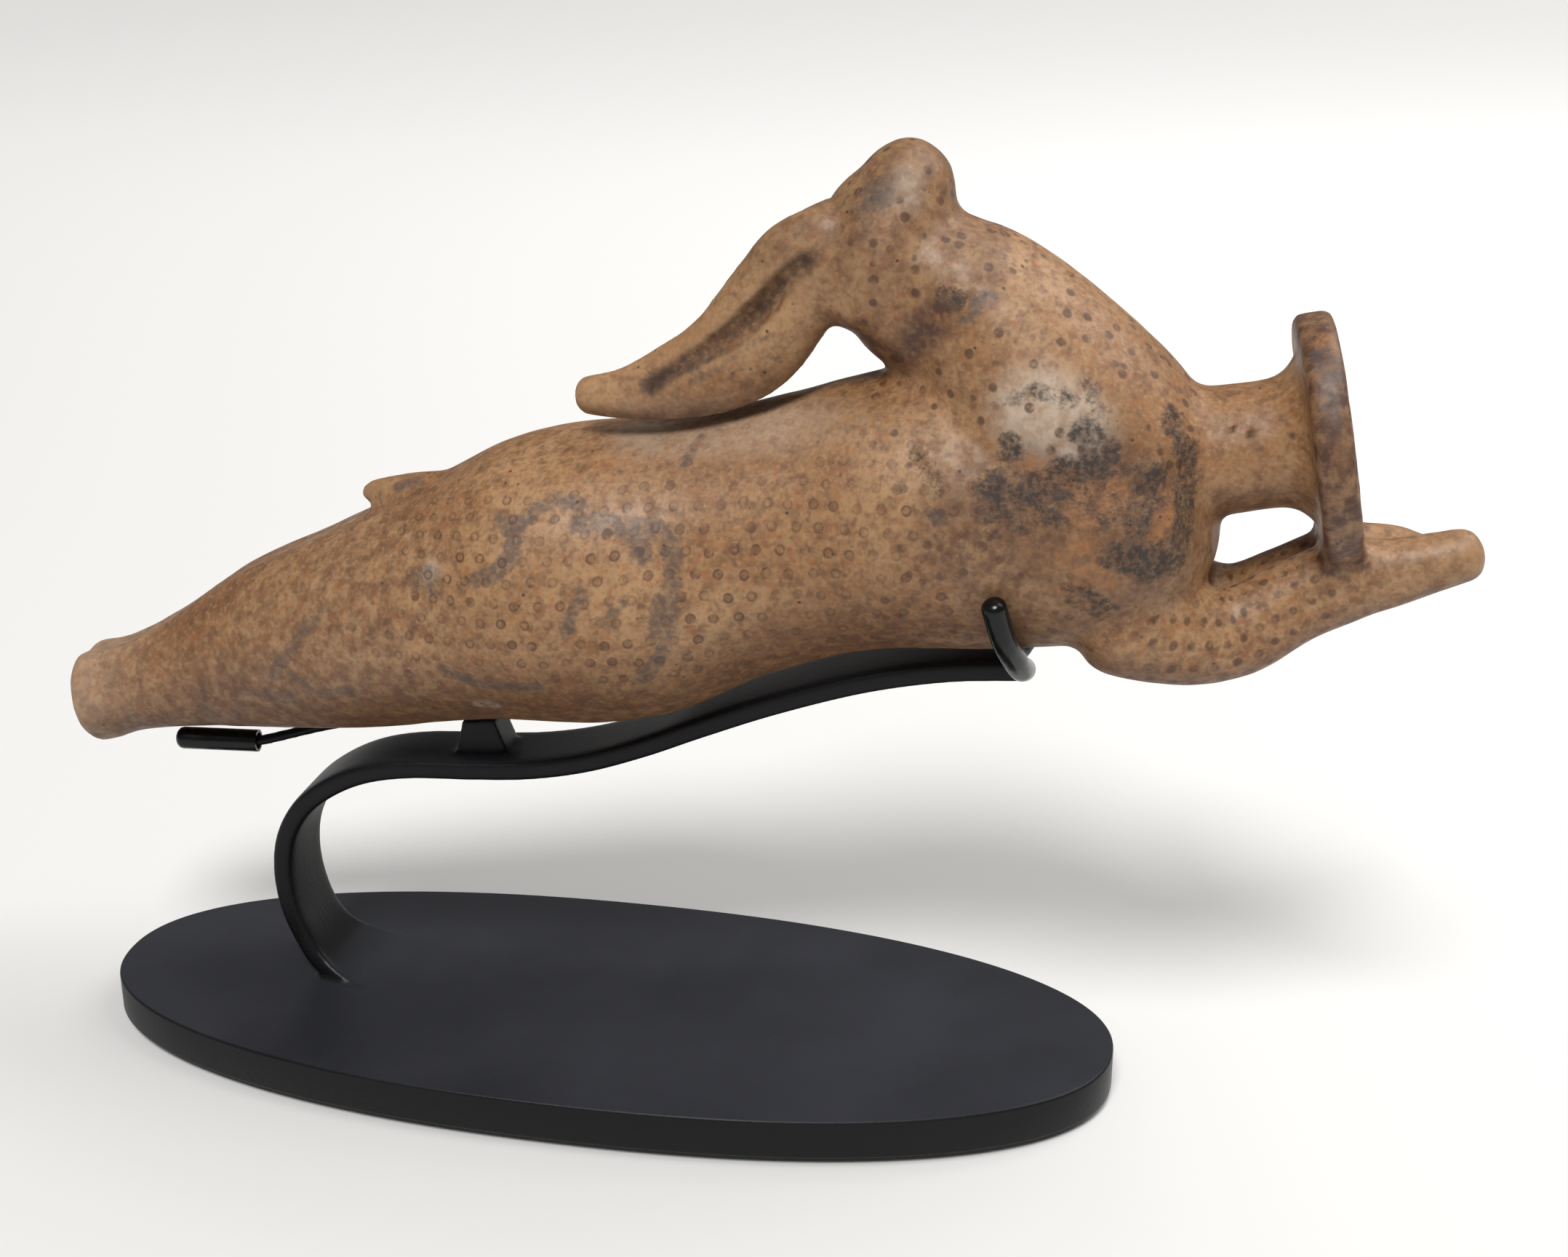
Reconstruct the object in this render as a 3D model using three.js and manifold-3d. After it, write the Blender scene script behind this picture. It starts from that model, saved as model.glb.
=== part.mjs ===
// A fired-clay alabastron modelled as a lying hare, held up on a black metal display stand.
// Millimetres, +Z up. X runs along the oval base, from the hind feet to the forepaws. In the tables y is
// taken from the hare's plane of symmetry and z from the underside of the base plate. The hare stands
// BASE_AHEAD_OF_HARE behind the middle of the base, and a thin liner lifts the plate by LINER_LIFT.

import * as THREE from "three";
import { ParametricGeometry } from "three/addons/geometries/ParametricGeometry.js";
import { mergeVertices } from "three/addons/utils/BufferGeometryUtils.js";
import Module from "manifold-3d";

const wasm = await Module();
wasm.setup();

// Driving dimensions of the stand
const BASE_LENGTH = 160;
const BASE_WIDTH = 61.6;
const BASE_FULLNESS = 2.2;
const BASE_THICKNESS = 6.35;
const BASE_EDGE_BREAK = 0.5;
const BASE_AHEAD_OF_HARE = 3.6;
const LINER_LIFT = 1.2;
const LINER_SETBACK = 2.2;
const JOINT_GAP = 0.3;
const STRAP_THICKNESS = 3.2;
const STRAP_WIDTH = 12.7;
const ROD_RADIUS = 0.85;
const SLEEVE_RADIUS = 1.75;
const SLEEVE_BORE = 1.32;
const SLEEVE_OVERRUN = 1.2;
const SLEEVE_TIP_ROUND = 1.2;
const GUSSET_WIDTH = 6;

// Driving dimensions of the vase
const WALL = 3.8;
const DISC_RADIUS = 17.3;
const DISC_THICKNESS = 5.2;
const DISC_EDGE_ROUND = 1.6;
const BORE_RADIUS = 5.2;
const BORE_DEPTH = 34;
const LIP_FLARE = 1.5;
const NECK_RISE_DEG = 10.9;
const NECK_TURN_DEG = 3.5;
const DISC_CENTRE = new THREE.Vector3(103.2, 0.9, 101.8);
const NECK_ABOVE_DISC_CENTRE = 0.7;

// Each row of a table is one section: x, y, z of its centre, half its height, half its width, and,
// for the body, how deep the parting between the two legs cuts, as a share of the section.
const BODY = [
  [-83.9, 0, 49.9, 8.1, 8.8, 0.16],
  [-79.7, 0, 50.8, 8.0, 8.6, 0.16],
  [-74.8, 0, 52.4, 7.9, 8.3, 0.15],
  [-65.1, 0, 55.7, 9.8, 9.6, 0.13],
  [-51.1, 0, 60.8, 13.9, 12.6, 0.1],
  [-36.1, 0, 65.3, 16.5, 16.0, 0.06],
  [-21.1, 0, 70.3, 18.4, 19.5, 0.02],
  [-6.1, 0, 74.8, 21.6, 22.5, 0],
  [6.9, 0, 77.3, 22.1, 21.5, 0],
  [20.9, 0, 81.6, 19.6, 18.6, 0],
  [34.9, 0, 86.1, 19.2, 17.6, 0],
  [48.9, 0, 89.2, 20.2, 19.0, 0],
  [61.9, 0, 89.9, 20.0, 18.9, 0],
  [74.9, 0, 90.2, 17.6, 19.4, 0],
  [84.9, 0, 91.2, 13.0, 14.5, 0],
  [89.9, 0, 92.2, 8.5, 9.5, 0],
];
const THROAT = [
  [76.9, 0, 90, 18, 17],
  [69.9, 0, 101.1, 16.6, 17.2],
  [62.9, 0, 110.1, 14.3, 15.5],
  [55.9, 0, 117.4, 12.2, 13],
  [49.5, 0, 122.9, 9.6, 10.8],
  [44.6, 0, 128.7, 6.6, 8.5],
];
const NAPE = [
  [58.9, 0, 108.2, 9, 9],
  [51.9, 0, 113.9, 8.6, 9.5],
  [45.4, 0, 118.7, 8.2, 10],
  [39.4, 0, 122.7, 7.6, 9.5],
];
const HEAD = [
  [38.9, 0, 114.2, 5.5, 7],
  [40.2, 0, 119.2, 8.6, 9.8],
  [42.4, 0, 124.7, 10.3, 10.8],
  [44.1, 0, 130.2, 9.1, 9.4],
  [45.5, 0, 135.2, 6.6, 7.3],
  [46.1, 0, 140.7, 4.3, 5.1],
];
const EAR = [
  [39.9, 4.5, 127.1, 6.4, 4.6],
  [32.6, 4.7, 122.9, 7.2, 4.5],
  [29, 4.8, 118.4, 6.9, 4.4],
  [24.3, 4.9, 111.2, 6.5, 4.2],
  [19, 4.9, 108.3, 5.4, 3.9],
  [13.9, 4.9, 106.3, 4.4, 3.6],
  [6.9, 4.8, 104.6, 3.3, 3.2],
  [-0.1, 4.7, 104.4, 2.3, 2.5],
];
const EAR_HOLLOW = [
  [35.5, 9.5, 125.7, 0.8, 0.8],
  [31.8, 9.8, 122.1, 1.9, 1.5],
  [27.7, 10.0, 117.3, 2.6, 1.9],
  [22.9, 9.9, 112.7, 2.4, 1.7],
  [16.9, 9.5, 108.9, 1.8, 1.3],
  [10.4, 8.9, 106, 0.9, 0.8],
];
const FORELEG = [
  [72.9, 8.6, 80.1, 8.4, 8.0],
  [78.9, 7.8, 77, 8.0, 7.3],
  [85.9, 6.2, 75.1, 7.2, 6.3],
  [92.9, 4.7, 75.6, 6.4, 5.4],
  [99.9, 3.7, 79.7, 5.8, 4.9],
  [106.9, 3.3, 83.4, 5.8, 4.7],
  [112.9, 3.0, 85, 4.8, 4.3],
  [118.9, 2.8, 86.6, 3.8, 4.0],
  [124.9, 2.5, 88.4, 2.9, 3.2],
];
const TAIL = [
  [-19.1, 0, 87.2, 3.2, 4.2],
  [-26.1, 0, 86.7, 2.9, 3.7],
  [-31.1, 0, 86.3, 2.4, 3.1],
  [-35.5, 0, 85.6, 1.9, 2.4],
];
// The neck, turned about the mouth's axis: radius, and place along the axis from the disc's middle.
const NECK = [
  [9.9, -24],
  [9.1, -17],
  [8.7, -8.6],
  [9.2, -5.2],
  [11.1, -3],
  [12.7, -2],
  [12.7, 0],
];
const CHAMBER_NECK = [
  [72.9, 0, 95.7, 9.5, 10.5],
  [65.9, 0, 104.7, 8.2, 9.5],
  [58.9, 0, 112.7, 6.0, 7.2],
];

// The strap rises from its foot on the plate, turns over, and follows the belly: x, y, z, half its
// thickness and half its width. The foot is beaten out wide and thin.
const STRAP = [
  [-36.5, 0, 6.2, 0.6, 9],
  [-41.5, 0, 6.9, 1, 8.4],
  [-45.8, 0, 8.6, STRAP_THICKNESS / 2, 7.2],
  [-48.6, 0, 12.6, STRAP_THICKNESS / 2, STRAP_WIDTH / 2],
  [-50.5, 0, 18, STRAP_THICKNESS / 2, STRAP_WIDTH / 2],
  [-51.1, 0, 24, STRAP_THICKNESS / 2, STRAP_WIDTH / 2],
  [-50.1, 0, 30, STRAP_THICKNESS / 2, STRAP_WIDTH / 2],
  [-47.1, 0, 35.3, STRAP_THICKNESS / 2, STRAP_WIDTH / 2],
  [-42.3, 0, 39.3, STRAP_THICKNESS / 2, STRAP_WIDTH / 2],
  [-36.3, 0, 42.2, STRAP_THICKNESS / 2, STRAP_WIDTH / 2],
  [-28.8, 0, 43.8, STRAP_THICKNESS / 2, STRAP_WIDTH / 2],
  [-18.8, 0, 44.5, STRAP_THICKNESS / 2, STRAP_WIDTH / 2],
  [-9.8, 0, 45.4, STRAP_THICKNESS / 2, STRAP_WIDTH / 2],
  [-0.8, 0, 47.4, STRAP_THICKNESS / 2, STRAP_WIDTH / 2],
  [8.2, 0, 50.7, STRAP_THICKNESS / 2, STRAP_WIDTH / 2],
  [17.2, 0, 54.7, STRAP_THICKNESS / 2, STRAP_WIDTH / 2],
  [28.2, 0, 59.3, STRAP_THICKNESS / 2, STRAP_WIDTH / 2],
  [41.2, 0, 63.8, STRAP_THICKNESS / 2, STRAP_WIDTH / 2],
  [53.2, 0, 66.5, STRAP_THICKNESS / 2, STRAP_WIDTH / 2],
  [63.7, 0, 67.6, STRAP_THICKNESS / 2, STRAP_WIDTH / 2],
];
const ARM = [
  [-16.1, 1.5, 50.1],
  [-22.1, 4.6, 50.3],
  [-29.1, 5.4, 49.4],
  [-37.1, 4.6, 47.6],
  [-46.1, 2.4, 46.0],
  [-55.3, -1.2, 44.3],
  [-59.3, -1.6, 44.3],
  [-63.3, -2.0, 44.3],
  [-67.3, -2.4, 44.3],
];
const ARM_SLEEVE_ROWS = 4;
const PRONG = [
  [63.2, 0, 67.7],
  [64.0, 3.6, 67.7],
  [64.3, 6.8, 68.4],
  [64.2, 10.2, 69.9],
  [63.6, 13.7, 72.5],
  [62.4, 17.2, 76.6],
  [61.1, 19.5, 82.1],
];
const PRONG_SLEEVE_ROWS = 5;

// The side view of the gusset on the strap: x and z of its corners.
const GUSSET = [
  [-22, 44.6],
  [-9.4, 45.2],
  [-14.1, 51.9],
  [-19.7, 51.5],
];

const ACROSS = new THREE.Vector3(0, 1, 0);

// A table on the other side of the plane of symmetry, and one with the same radius all along.
const mirrored = (rows) => rows.map(([x, y, ...rest]) => [x, -y, ...rest]);
const round = (rows, radius) => rows.map(([x, y, z]) => [x, y, z, radius, radius]);

// Outlines of a section, as unit offsets across and upwards at an angle.
const oval = (angle) => [Math.cos(angle), Math.sin(angle)];
const bar = (angle) => {
  const squareness = 2 / 8;
  const side = (value) => Math.sign(value) * Math.abs(value) ** squareness;
  return [side(Math.cos(angle)), side(Math.sin(angle))];
};
const PARTING_SHARPNESS = 22;
const pairOfLegs = (angle, parting) => {
  const share = 1 - parting * Math.abs(Math.sin(angle)) ** PARTING_SHARPNESS;
  return [Math.cos(angle) * share, Math.sin(angle) * share];
};

// A closed tube through the rows of a table. Its ends are domed over the lengths given by caps.
function sweep(rows, { rings, sides, caps = [0, 0], outline = oval }) {
  const spine = new THREE.CatmullRomCurve3(
    rows.map(([x, y, z]) => new THREE.Vector3(x, y, z)),
    false,
    "catmullrom",
  );
  const girth = new THREE.CatmullRomCurve3(
    rows.map(([, , , tall, wide, parting = 0]) => new THREE.Vector3(tall, wide, parting)),
    false,
    "catmullrom",
  );
  spine.arcLengthDivisions = 400;
  const length = spine.getLength();
  const places = ringPlaces(length, rings, caps);
  const tangent = new THREE.Vector3();
  const across = new THREE.Vector3();
  const upward = new THREE.Vector3();
  const section = (u, v, target) => {
    const place = places[Math.round(v * (places.length - 1))];
    const t = spine.getUtoTmapping(THREE.MathUtils.clamp(place.along / length, 0, 1));
    const { x: tall, y: wide, z: parting } = girth.getPoint(t);
    spine.getTangent(t, tangent);
    across.copy(ACROSS).addScaledVector(tangent, -tangent.dot(ACROSS)).normalize();
    upward.crossVectors(tangent, across);
    const turn = Math.round(u * sides) % sides;
    const [a, b] = outline((2 * Math.PI * turn) / sides, parting);
    target.copy(spine.getPoint(t));
    target.addScaledVector(across, a * wide * place.share);
    target.addScaledVector(upward, b * tall * place.share);
  };
  return solidFrom(new ParametricGeometry(section, sides, places.length - 1));
}

// Where the rings of a tube lie along it, and the share of the full section that each has.
function ringPlaces(length, rings, [capStart, capEnd]) {
  const domeRings = 4;
  const dome = (cap) =>
    Array.from({ length: domeRings }, (_, i) => {
      const angle = (i * Math.PI) / 2 / domeRings;
      return { along: cap * (1 - Math.cos(angle)), share: Math.sin(angle) };
    });
  const flat = [{ along: 0, share: 0 }];
  const start = capStart > 0 ? dome(capStart) : flat;
  const end = (capEnd > 0 ? dome(capEnd) : flat)
    .map(({ along, share }) => ({ along: length - along, share }))
    .reverse();
  const between = Array.from({ length: rings }, (_, i) => ({
    along: capStart + ((length - capStart - capEnd) * i) / (rings - 1),
    share: 1,
  }));
  return [...start, ...between, ...end];
}

// A turned solid whose axis runs along +X. The profile gives radius and place along the axis.
function turned(profile, segments) {
  const points = profile.map(([radius, along]) => new THREE.Vector2(radius, along));
  const geometry = new THREE.LatheGeometry(points, segments);
  geometry.rotateZ(-Math.PI / 2);
  return solidFrom(geometry);
}

// A closed three.js geometry as a solid that can be joined and cut.
function solidFrom(geometry) {
  geometry.deleteAttribute("normal");
  geometry.deleteAttribute("uv");
  const merged = mergeVertices(geometry, 1e-4);
  return new wasm.Manifold(
    new wasm.Mesh({
      numProp: 3,
      vertProperties: merged.getAttribute("position").array,
      triVerts: new Uint32Array(merged.index.array),
    }),
  );
}

// A solid as a three.js geometry.
function geometryFrom(solid) {
  const { vertProperties, triVerts } = solid.getMesh();
  const geometry = new THREE.BufferGeometry();
  geometry.setAttribute("position", new THREE.BufferAttribute(vertProperties, 3));
  geometry.setIndex(new THREE.BufferAttribute(triVerts, 1));
  geometry.computeVertexNormals();
  return geometry;
}

const joined = (solids) => solids.reduce((all, next) => all.add(next));

// Quarter-round corner of a lathe profile, from one angle to another.
function corner(radius, along, rounding, fromDeg, toDeg, steps = 3) {
  return Array.from({ length: steps + 1 }, (_, i) => {
    const angle = THREE.MathUtils.degToRad(fromDeg + ((toDeg - fromDeg) * i) / steps);
    return [radius + rounding * Math.cos(angle), along + rounding * Math.sin(angle)];
  });
}

// Where the vessel's mouth stands: its axis goes through the disc's centre, or a little above it.
function mouthPlacement(above = 0) {
  const turn = new THREE.Matrix4().makeRotationZ(THREE.MathUtils.degToRad(NECK_TURN_DEG));
  const rise = new THREE.Matrix4().makeRotationY(-THREE.MathUtils.degToRad(NECK_RISE_DEG));
  const lift = new THREE.Matrix4().makeTranslation(0, 0, above);
  return new THREE.Matrix4()
    .makeTranslation(DISC_CENTRE)
    .multiply(turn)
    .multiply(rise)
    .multiply(lift);
}

const placed = (solid, matrix) => solid.transform(matrix.elements);

function disc() {
  const half = DISC_THICKNESS / 2;
  const rim = DISC_RADIUS - DISC_EDGE_ROUND;
  const edge = half - DISC_EDGE_ROUND;
  const profile = [
    [0, -half],
    ...corner(rim, -edge, DISC_EDGE_ROUND, -90, 0),
    ...corner(rim, edge, DISC_EDGE_ROUND, 0, 90),
    [0, half],
  ];
  return placed(turned(profile, 40), mouthPlacement());
}

function neck() {
  const [, start] = NECK[0];
  const profile = [[0, start], ...NECK, [0, 0]];
  return placed(turned(profile, 28), mouthPlacement(NECK_ABOVE_DISC_CENTRE));
}

// The way in, from the chamber to past the disc's face, with a soft lip.
function bore() {
  const half = DISC_THICKNESS / 2;
  const past = 4;
  const lipCurve = 0.3;
  const profile = [
    [0, -BORE_DEPTH],
    [BORE_RADIUS, -BORE_DEPTH],
    [BORE_RADIUS, half - LIP_FLARE],
    [BORE_RADIUS + LIP_FLARE * lipCurve, half - LIP_FLARE * lipCurve],
    [BORE_RADIUS + LIP_FLARE, half],
    [BORE_RADIUS + LIP_FLARE, half + past],
    [0, half + past],
  ];
  return placed(turned(profile, 20), mouthPlacement());
}

// The hollow inside the body follows the outside, one wall thickness in.
function chamber() {
  const firstRow = 4;
  const inner = BODY.slice(firstRow, -1).map(([x, y, z, tall, wide]) => [
    x,
    y,
    z,
    tall - WALL,
    wide - WALL,
  ]);
  const belly = sweep(inner, { rings: 12, sides: 16, caps: [8, 6] });
  const throat = sweep(CHAMBER_NECK, { rings: 4, sides: 12, caps: [5, 5] });
  return joined([belly, throat, bore()]);
}

function ears() {
  const ear = (rows) => sweep(rows, { rings: 10, sides: 12, caps: [3, 2.4] });
  const hollow = (rows) => sweep(rows, { rings: 6, sides: 6, caps: [1, 1] });
  return joined([ear(EAR), ear(mirrored(EAR))])
    .subtract(hollow(EAR_HOLLOW))
    .subtract(hollow(mirrored(EAR_HOLLOW)));
}

function hare() {
  const foreleg = (rows) => sweep(rows, { rings: 10, sides: 12, caps: [6.5, 3] });
  const outside = joined([
    sweep(BODY, { rings: 28, sides: 24, caps: [2.2, 7], outline: pairOfLegs }),
    sweep(THROAT, { rings: 8, sides: 18, caps: [8, 5] }),
    sweep(NAPE, { rings: 5, sides: 14, caps: [4, 7] }),
    sweep(HEAD, { rings: 8, sides: 16, caps: [4, 4.2] }),
    ears(),
    foreleg(FORELEG),
    foreleg(mirrored(FORELEG)),
    sweep(TAIL, { rings: 4, sides: 10, caps: [2, 2.2] }),
    neck(),
    disc(),
  ]);
  return outside.subtract(chamber());
}

// The prongs curve up from under the strap's end, one on each side of the hare's chest.
const prongRows = (side) => PRONG.map(([x, y, z]) => [x, side * y, z]);
const prong = (side) => sweep(round(prongRows(side), ROD_RADIUS), { rings: 9, sides: 8 });

// The outline of the base: an oval a little fuller at its ends than an ellipse.
function baseOutline(setback, sides = 72) {
  const fullness = 2 / BASE_FULLNESS;
  const along = (value, reach) => Math.sign(value) * Math.abs(value) ** fullness * reach;
  return new THREE.Shape(
    Array.from({ length: sides }, (_, i) => {
      const angle = (2 * Math.PI * i) / sides;
      return new THREE.Vector2(
        along(Math.cos(angle), BASE_LENGTH / 2 - setback),
        along(Math.sin(angle), BASE_WIDTH / 2 - setback),
      );
    }),
  );
}

function basePlate() {
  const geometry = new THREE.ExtrudeGeometry(baseOutline(BASE_EDGE_BREAK), {
    depth: BASE_THICKNESS - 2 * BASE_EDGE_BREAK,
    bevelThickness: BASE_EDGE_BREAK,
    bevelSize: BASE_EDGE_BREAK,
    bevelSegments: 1,
  });
  return solidFrom(geometry.translate(0, -BASE_AHEAD_OF_HARE, BASE_EDGE_BREAK));
}

function baseLiner() {
  const geometry = new THREE.ExtrudeGeometry(baseOutline(LINER_SETBACK), {
    depth: LINER_LIFT - JOINT_GAP,
    bevelEnabled: false,
  });
  return geometry.translate(0, -BASE_AHEAD_OF_HARE, -LINER_LIFT);
}

function gusset() {
  const outline = new THREE.Shape(GUSSET.map(([x, z]) => new THREE.Vector2(x, z)));
  const geometry = new THREE.ExtrudeGeometry(outline, { depth: GUSSET_WIDTH, bevelEnabled: false });
  geometry.rotateX(Math.PI / 2);
  geometry.translate(0, GUSSET_WIDTH / 2, 0);
  return solidFrom(geometry);
}

// The plate and everything brazed to it: strap, gusset, arm and the two prongs.
function stand() {
  return joined([
    basePlate(),
    sweep(STRAP, { rings: 32, sides: 12, outline: bar }),
    gusset(),
    sweep(round(ARM, ROD_RADIUS), { rings: 11, sides: 8 }),
    prong(-1),
    prong(1),
  ]);
}

// A soft tube pushed over the end of a rod: open at one end, closed a little past the rod's tip.
// The space for the rod starts before the open end, so that it cuts right through it.
function sleeve(rod) {
  const cutThrough = 3;
  const cover = sweep(round(lengthened(rod, 0, SLEEVE_OVERRUN), SLEEVE_RADIUS), {
    rings: 6,
    sides: 10,
    caps: [0, SLEEVE_TIP_ROUND],
  });
  const space = sweep(round(lengthened(rod, cutThrough, JOINT_GAP), SLEEVE_BORE), {
    rings: 6,
    sides: 10,
  });
  return cover.subtract(space);
}

// The rows of a rod, run on in a straight line before its start and past its tip.
function lengthened(rows, before, past) {
  const points = rows.map((row) => new THREE.Vector3(...row));
  const beyond = (end, inside, by) => end.clone().add(end.clone().sub(inside).setLength(by));
  if (before > 0) points.unshift(beyond(points[0], points[1], before));
  points.push(beyond(points.at(-1), points.at(-2), past));
  return points.map((point) => point.toArray());
}

function prongSleeve(side) {
  return sleeve(prongRows(side).slice(-PRONG_SLEEVE_ROWS));
}

function armSleeve() {
  return sleeve(ARM.slice(-ARM_SLEEVE_ROWS));
}

const clay = new THREE.MeshStandardMaterial({ color: 0x9c7550, roughness: 0.55, metalness: 0 });
const blackPaint = new THREE.MeshStandardMaterial({ color: 0x17181b, roughness: 0.5, metalness: 0 });
const rubber = new THREE.MeshStandardMaterial({ color: 0x101214, roughness: 0.3, metalness: 0 });
const felt = new THREE.MeshStandardMaterial({ color: 0x0c0c0c, roughness: 1, metalness: 0 });

function named(name, geometry, material) {
  const mesh = new THREE.Mesh(geometry, material);
  mesh.name = name;
  return mesh;
}

const alabastron = new THREE.Group();
alabastron.position.set(0, BASE_AHEAD_OF_HARE, LINER_LIFT);
alabastron.add(
  named("hare_vessel", geometryFrom(hare()), clay),
  named("stand", geometryFrom(stand()), blackPaint),
  named("prong_sleeve_near", geometryFrom(prongSleeve(-1)), rubber),
  named("prong_sleeve_far", geometryFrom(prongSleeve(1)), rubber),
  named("arm_sleeve", geometryFrom(armSleeve()), rubber),
  named("base_liner", baseLiner(), felt),
);

export default alabastron;
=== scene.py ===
import logging
import math
from dataclasses import dataclass, field, replace
from enum import Enum
from itertools import product

import bpy
import numpy as np
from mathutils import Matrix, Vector


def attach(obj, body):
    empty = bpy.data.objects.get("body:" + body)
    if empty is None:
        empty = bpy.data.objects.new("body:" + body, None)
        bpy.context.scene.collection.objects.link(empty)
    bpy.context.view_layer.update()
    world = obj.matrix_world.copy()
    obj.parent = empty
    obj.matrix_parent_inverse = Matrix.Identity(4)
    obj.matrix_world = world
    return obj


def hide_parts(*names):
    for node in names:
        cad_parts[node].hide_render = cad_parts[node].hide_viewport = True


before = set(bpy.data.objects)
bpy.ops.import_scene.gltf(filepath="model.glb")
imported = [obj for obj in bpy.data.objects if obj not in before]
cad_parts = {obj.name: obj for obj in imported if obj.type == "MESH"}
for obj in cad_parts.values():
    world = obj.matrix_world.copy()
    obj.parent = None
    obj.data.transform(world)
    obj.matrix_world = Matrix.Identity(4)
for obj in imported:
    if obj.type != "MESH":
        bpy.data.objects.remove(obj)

# A fired-clay flask in the shape of a lying hare, held up on a black metal display stand.
# The shapes are worked out in millimetres: x runs from the hind feet to the forepaws, y is taken from
# the hare's plane of symmetry and z from the underside of the base plate. `in_frame` puts them into
# the frame, in metres.

Array = np.ndarray
Line = tuple[tuple[float, ...], ...]
Place = tuple[float, float, float]
Socket = bpy.types.NodeSocket
Tree = bpy.types.NodeTree
MM = 0.001
BASE_AHEAD_OF_HARE = 3.6
LINER_LIFT = 1.2
BODY_NAME = "root"
log = logging.getLogger("alabastron")


class Outline(Enum):
    """The outline of a tube's section."""

    OVAL = "oval"
    BAR = "bar"
    PAIR_OF_LEGS = "pair of legs"


class Cut(Enum):
    """How two solids are put together."""

    JOIN = "UNION"
    CUT = "DIFFERENCE"


# Arrays


def in_frame(points: Array) -> Array:
    """Moves points in millimetres to the frame, in metres."""
    return (points + np.array([0.0, BASE_AHEAD_OF_HARE, LINER_LIFT])) * MM


def from_frame(points: Array) -> Array:
    """Moves points of the frame, in metres, back to the millimetres of the tables."""
    return points / MM - np.array([0.0, BASE_AHEAD_OF_HARE, LINER_LIFT])


def smooth_step(value: Array, start: float, end: float) -> Array:
    """Goes from 0 at start to 1 at end along 3t² - 2t³."""
    share = np.clip((value - start) / (end - start), 0.0, 1.0)
    return share * share * (3.0 - 2.0 * share)


def catmull_rom(rows: Array, at: Array) -> Array:
    """A smooth curve through the rows of a table.

    The curve is the uniform Catmull-Rom spline, a cubic in the four rows round each place. Before the
    first row and after the last the table is carried on by reflection.

    Args:
        rows: one row for each point, any number of columns.
        at: places on the curve, 0 at the first row and 1 at the last.

    Returns:
        One row for each place.
    """
    ends = np.vstack([2 * rows[0] - rows[1], rows, 2 * rows[-1] - rows[-2]])
    place = np.clip(at, 0.0, 1.0) * (len(rows) - 1)
    first = np.minimum(place.astype(int), len(rows) - 2)
    t = (place - first)[:, None]
    a, b, c, d = (ends[first + k] for k in range(4))
    bend = (2 * a - 5 * b + 4 * c - d) * t**2 + (3 * b - a - 3 * c + d) * t**3
    return 0.5 * (2 * b + (c - a) * t + bend)


def lumps(points: Array, size: float, seed: int) -> Array:
    """Smooth lumps between -1 and 1 that are about as wide as size.

    Each corner of a cubic lattice has a height that a sine hash of its place gives. A point gets the
    mean of its cell's eight corners, weighted by 3t² - 2t³ along each axis.

    Args:
        points: the points, in millimetres.
        size: how wide a lump is, in millimetres.
        seed: which of the patterns.

    Returns:
        One number for each point.
    """
    cell = points / size
    base = np.floor(cell)
    t = smooth_step(cell - base, 0.0, 1.0)
    total = np.zeros(len(points))
    for corner in product((0.0, 1.0), repeat=3):
        offset = np.array(corner)
        weight = np.prod(np.where(offset > 0, t, 1.0 - t), axis=1)
        place = (base + offset) @ np.array([12.9898, 78.233, 37.719]) + 17.13 * seed
        total += weight * np.modf(np.abs(np.sin(place)) * 43758.5453)[0]
    return 2.0 * total - 1.0


def distance_to_line(points: Array, line: Array) -> Array:
    """The distance of every point to a broken line, the least of those to its straight runs.

    Args:
        points: the points, in millimetres.
        line: the line's corners.

    Returns:
        One distance for each point.
    """
    least = np.full(len(points), np.inf)
    for start, end in zip(line[:-1], line[1:]):
        run = end - start
        share = np.clip((points - start) @ run / max(run @ run, 1e-9), 0.0, 1.0)
        least = np.minimum(least, np.linalg.norm(points - start - share[:, None] * run, axis=1))
    return least


# Surfaces


@dataclass
class Surface:
    """A closed surface: its points in millimetres and its faces, which look outwards."""

    points: Array
    faces: list[list[int]]

    def __add__(self, other: "Surface") -> "Surface":
        """Puts two surfaces side by side in one.

        Args:
            other: the other surface.

        Returns:
            Both as one surface.
        """
        shift = len(self.points)
        moved = [[index + shift for index in face] for face in other.faces]
        return Surface(np.vstack([self.points, other.points]), self.faces + moved)


def closed_surface(rings: Array) -> Surface:
    """Closes a stack of rings, whose first and last rings have shrunk to a point.

    Args:
        rings: an array of rings by points by 3. The points go round the way that the rings advance,
            as a right-handed screw does.

    Returns:
        The surface, with a fan of triangles at each end and quads between.
    """
    count, sides = rings.shape[0] - 2, rings.shape[1]
    points = np.vstack([rings[0, :1], rings[1:-1].reshape(-1, 3), rings[-1, :1]])
    index = 1 + np.arange(count * sides).reshape(count, sides)
    turned = np.roll(index, -1, axis=1)
    quads = np.stack([index[:-1], turned[:-1], turned[1:], index[1:]], axis=-1).reshape(-1, 4)
    last = len(points) - 1
    start = np.stack([np.zeros(sides, int), turned[0], index[0]], axis=1)
    end = np.stack([np.full(sides, last), index[-1], turned[-1]], axis=1)
    return Surface(points, quads.tolist() + start.tolist() + end.tolist())


@dataclass(frozen=True)
class Nearness:
    """Where points lie beside a tube: place along it, angle round it, share of its girth."""

    along: Array
    angle: Array
    share: Array
    tall: Array
    wide: Array

    def depth(self) -> Array:
        """Millimetres inside (below 0) or outside (above 0) the tube, near enough."""
        return (self.share - 1.0) * np.sqrt(self.tall * self.wide)


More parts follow.
